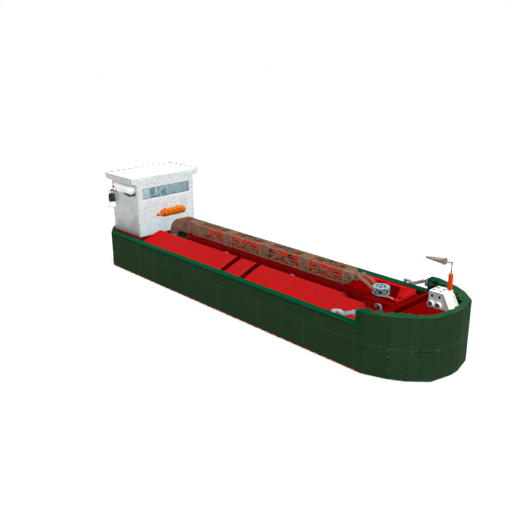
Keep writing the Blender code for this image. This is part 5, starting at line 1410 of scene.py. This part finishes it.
stern = {"seal": 0.01, "shaftZ": 0.66, "rudder": -0.98, "bearingZ": 1.335, "anodes": (-1.2, -0.9),
         "nut": -0.41,
         "bands": (0.42, 0.69, 0.96)}
sternParts = coats("bronze", washer((at(stern["seal"]), 0, stern["shaftZ"]), ahead, 0.145, 0.175, 0.04, 28))
x, z = at(stern["rudder"]), stern["bearingZ"]
sternParts += coats("steel", washer((x, 0, z), upward, 0.074, 0.13, 0.028, 24),
                    boltCircle((x, 0, z - 0.014), (0, 0, -1), 0.105, 6, 0.010))
aft, fore = map(at, stern["anodes"])
sternParts += coats("steel", *[plate((aft, side * 0.765, 0.60), (fore, side * 0.80, 0.68), 0.012, 2)
                               for side in sides.values()])
fitted("sternTrim", sternParts, "hull")
nutRings = ((0, 0.045), (0.03, 0.045), (0.05, 0.035), (0.08, 0.012))
fitted("propellerNut", [spunUp((at(stern["nut"]), 0, stern["shaftZ"]), (-1, 0, 0), nutRings, 14)],
       "propeller", "bronze")
fitted("rudderTrim", [plate((at(-1.30), -0.058, z - 0.02), (at(-0.84), 0.058, z + 0.02), 0.012)
                      for z in stern["bands"]], "rudder", "hull")
print("tanker: stern")


# Studio: floor, backdrop light, lamps and the camera at the photograph's angle

studio = {
    "sky": 0.07, "backdrop": 1.0, "floorSize": 400, "floorZ": -0.002,
    "suns": {        # way to the light, strength, softness in degrees, and whether it casts shadows
        "overhead": ((0.02, 0.03, 1.0), 2.05, 14, True), "bowLight": ((1.0, 0.10, 0.75), 2.30, 24, False),
        "sideLight": ((0.10, -1.0, 0.85), 0.70, 22, False)},
    "cabinLamp": {"place": (1.0, 0.0, 5.95), "power": 36, "size": 0.4},
}
clearSelection()
bpy.ops.mesh.primitive_plane_add(size=studio["floorSize"], location=(0, 0, studio["floorZ"]))
floor = bpy.context.object
floor.name = floor.data.name = "studioFloor"
floor.data.materials.append(floorPaint())

world = bpy.data.worlds.new("studioSky")
bpy.context.scene.world = world
world.use_nodes = True
skyNodes, skyLinks = world.node_tree.nodes, world.node_tree.links
dimSky = skyNodes["Background"]                    # what lights the ship
backdrop = skyNodes.new("ShaderNodeBackground")    # what shows above the floor's far edge
for sky, strength in ((dimSky, studio["sky"]), (backdrop, studio["backdrop"])):
    sky.inputs["Color"].default_value, sky.inputs["Strength"].default_value = (1, 1, 1, 1), strength
chooser, raySort = skyNodes.new("ShaderNodeMixShader"), skyNodes.new("ShaderNodeLightPath")
skyLinks.new(raySort.outputs["Is Camera Ray"], chooser.inputs[0])
skyLinks.new(dimSky.outputs[0], chooser.inputs[1])
skyLinks.new(backdrop.outputs[0], chooser.inputs[2])
skyLinks.new(chooser.outputs[0], skyNodes["World Output"].inputs["Surface"])


def addLamp(name, kind, place, power):
    clearSelection()
    bpy.ops.object.light_add(type=kind, location=place)
    bpy.context.object.name, bpy.context.object.data.energy = name, power
    return bpy.context.object


for name, (toLight, strength, softness, shadows) in studio["suns"].items():
    sun = addLamp(name, "SUN", (0, 0, 30), strength)
    sun.data.angle, sun.data.use_shadow = math.radians(softness), shadows
    sun.rotation_mode, sun.rotation_quaternion = "QUATERNION", Vector(toLight).to_track_quat("Z", "Y")
cabinLamp = studio["cabinLamp"]
station, y, z = cabinLamp["place"]
addLamp("cabinLamp", "POINT", (at(station), y, z), cabinLamp["power"]).data.shadow_soft_size = cabinLamp["size"]
bpy.context.scene.view_settings.view_transform = "Standard"

view = {"place": (28.626, -27.464, 16.209), "heading": 136.767, "dip": 18.589, "roll": -0.404, "focal": 660.5,
        "sensor": 36, "width": 512, "far": 500}
bpy.ops.object.camera_add(location=view["place"])
camera = bpy.context.object
camera.data.sensor_width, camera.data.clip_end = view["sensor"], view["far"]
camera.data.lens = view["focal"] * view["sensor"] / view["width"]
heading, dip = math.radians(view["heading"]), math.radians(view["dip"])
forward = Vector((math.cos(dip) * math.cos(heading), math.cos(dip) * math.sin(heading), -math.sin(dip)))
camera.rotation_mode = "QUATERNION"
level = forward.to_track_quat("-Z", "Y")
camera.rotation_quaternion = level @ Matrix.Rotation(math.radians(view["roll"]), 3, "Z").to_quaternion()
bpy.context.scene.camera = camera
print("tanker: studio and camera")
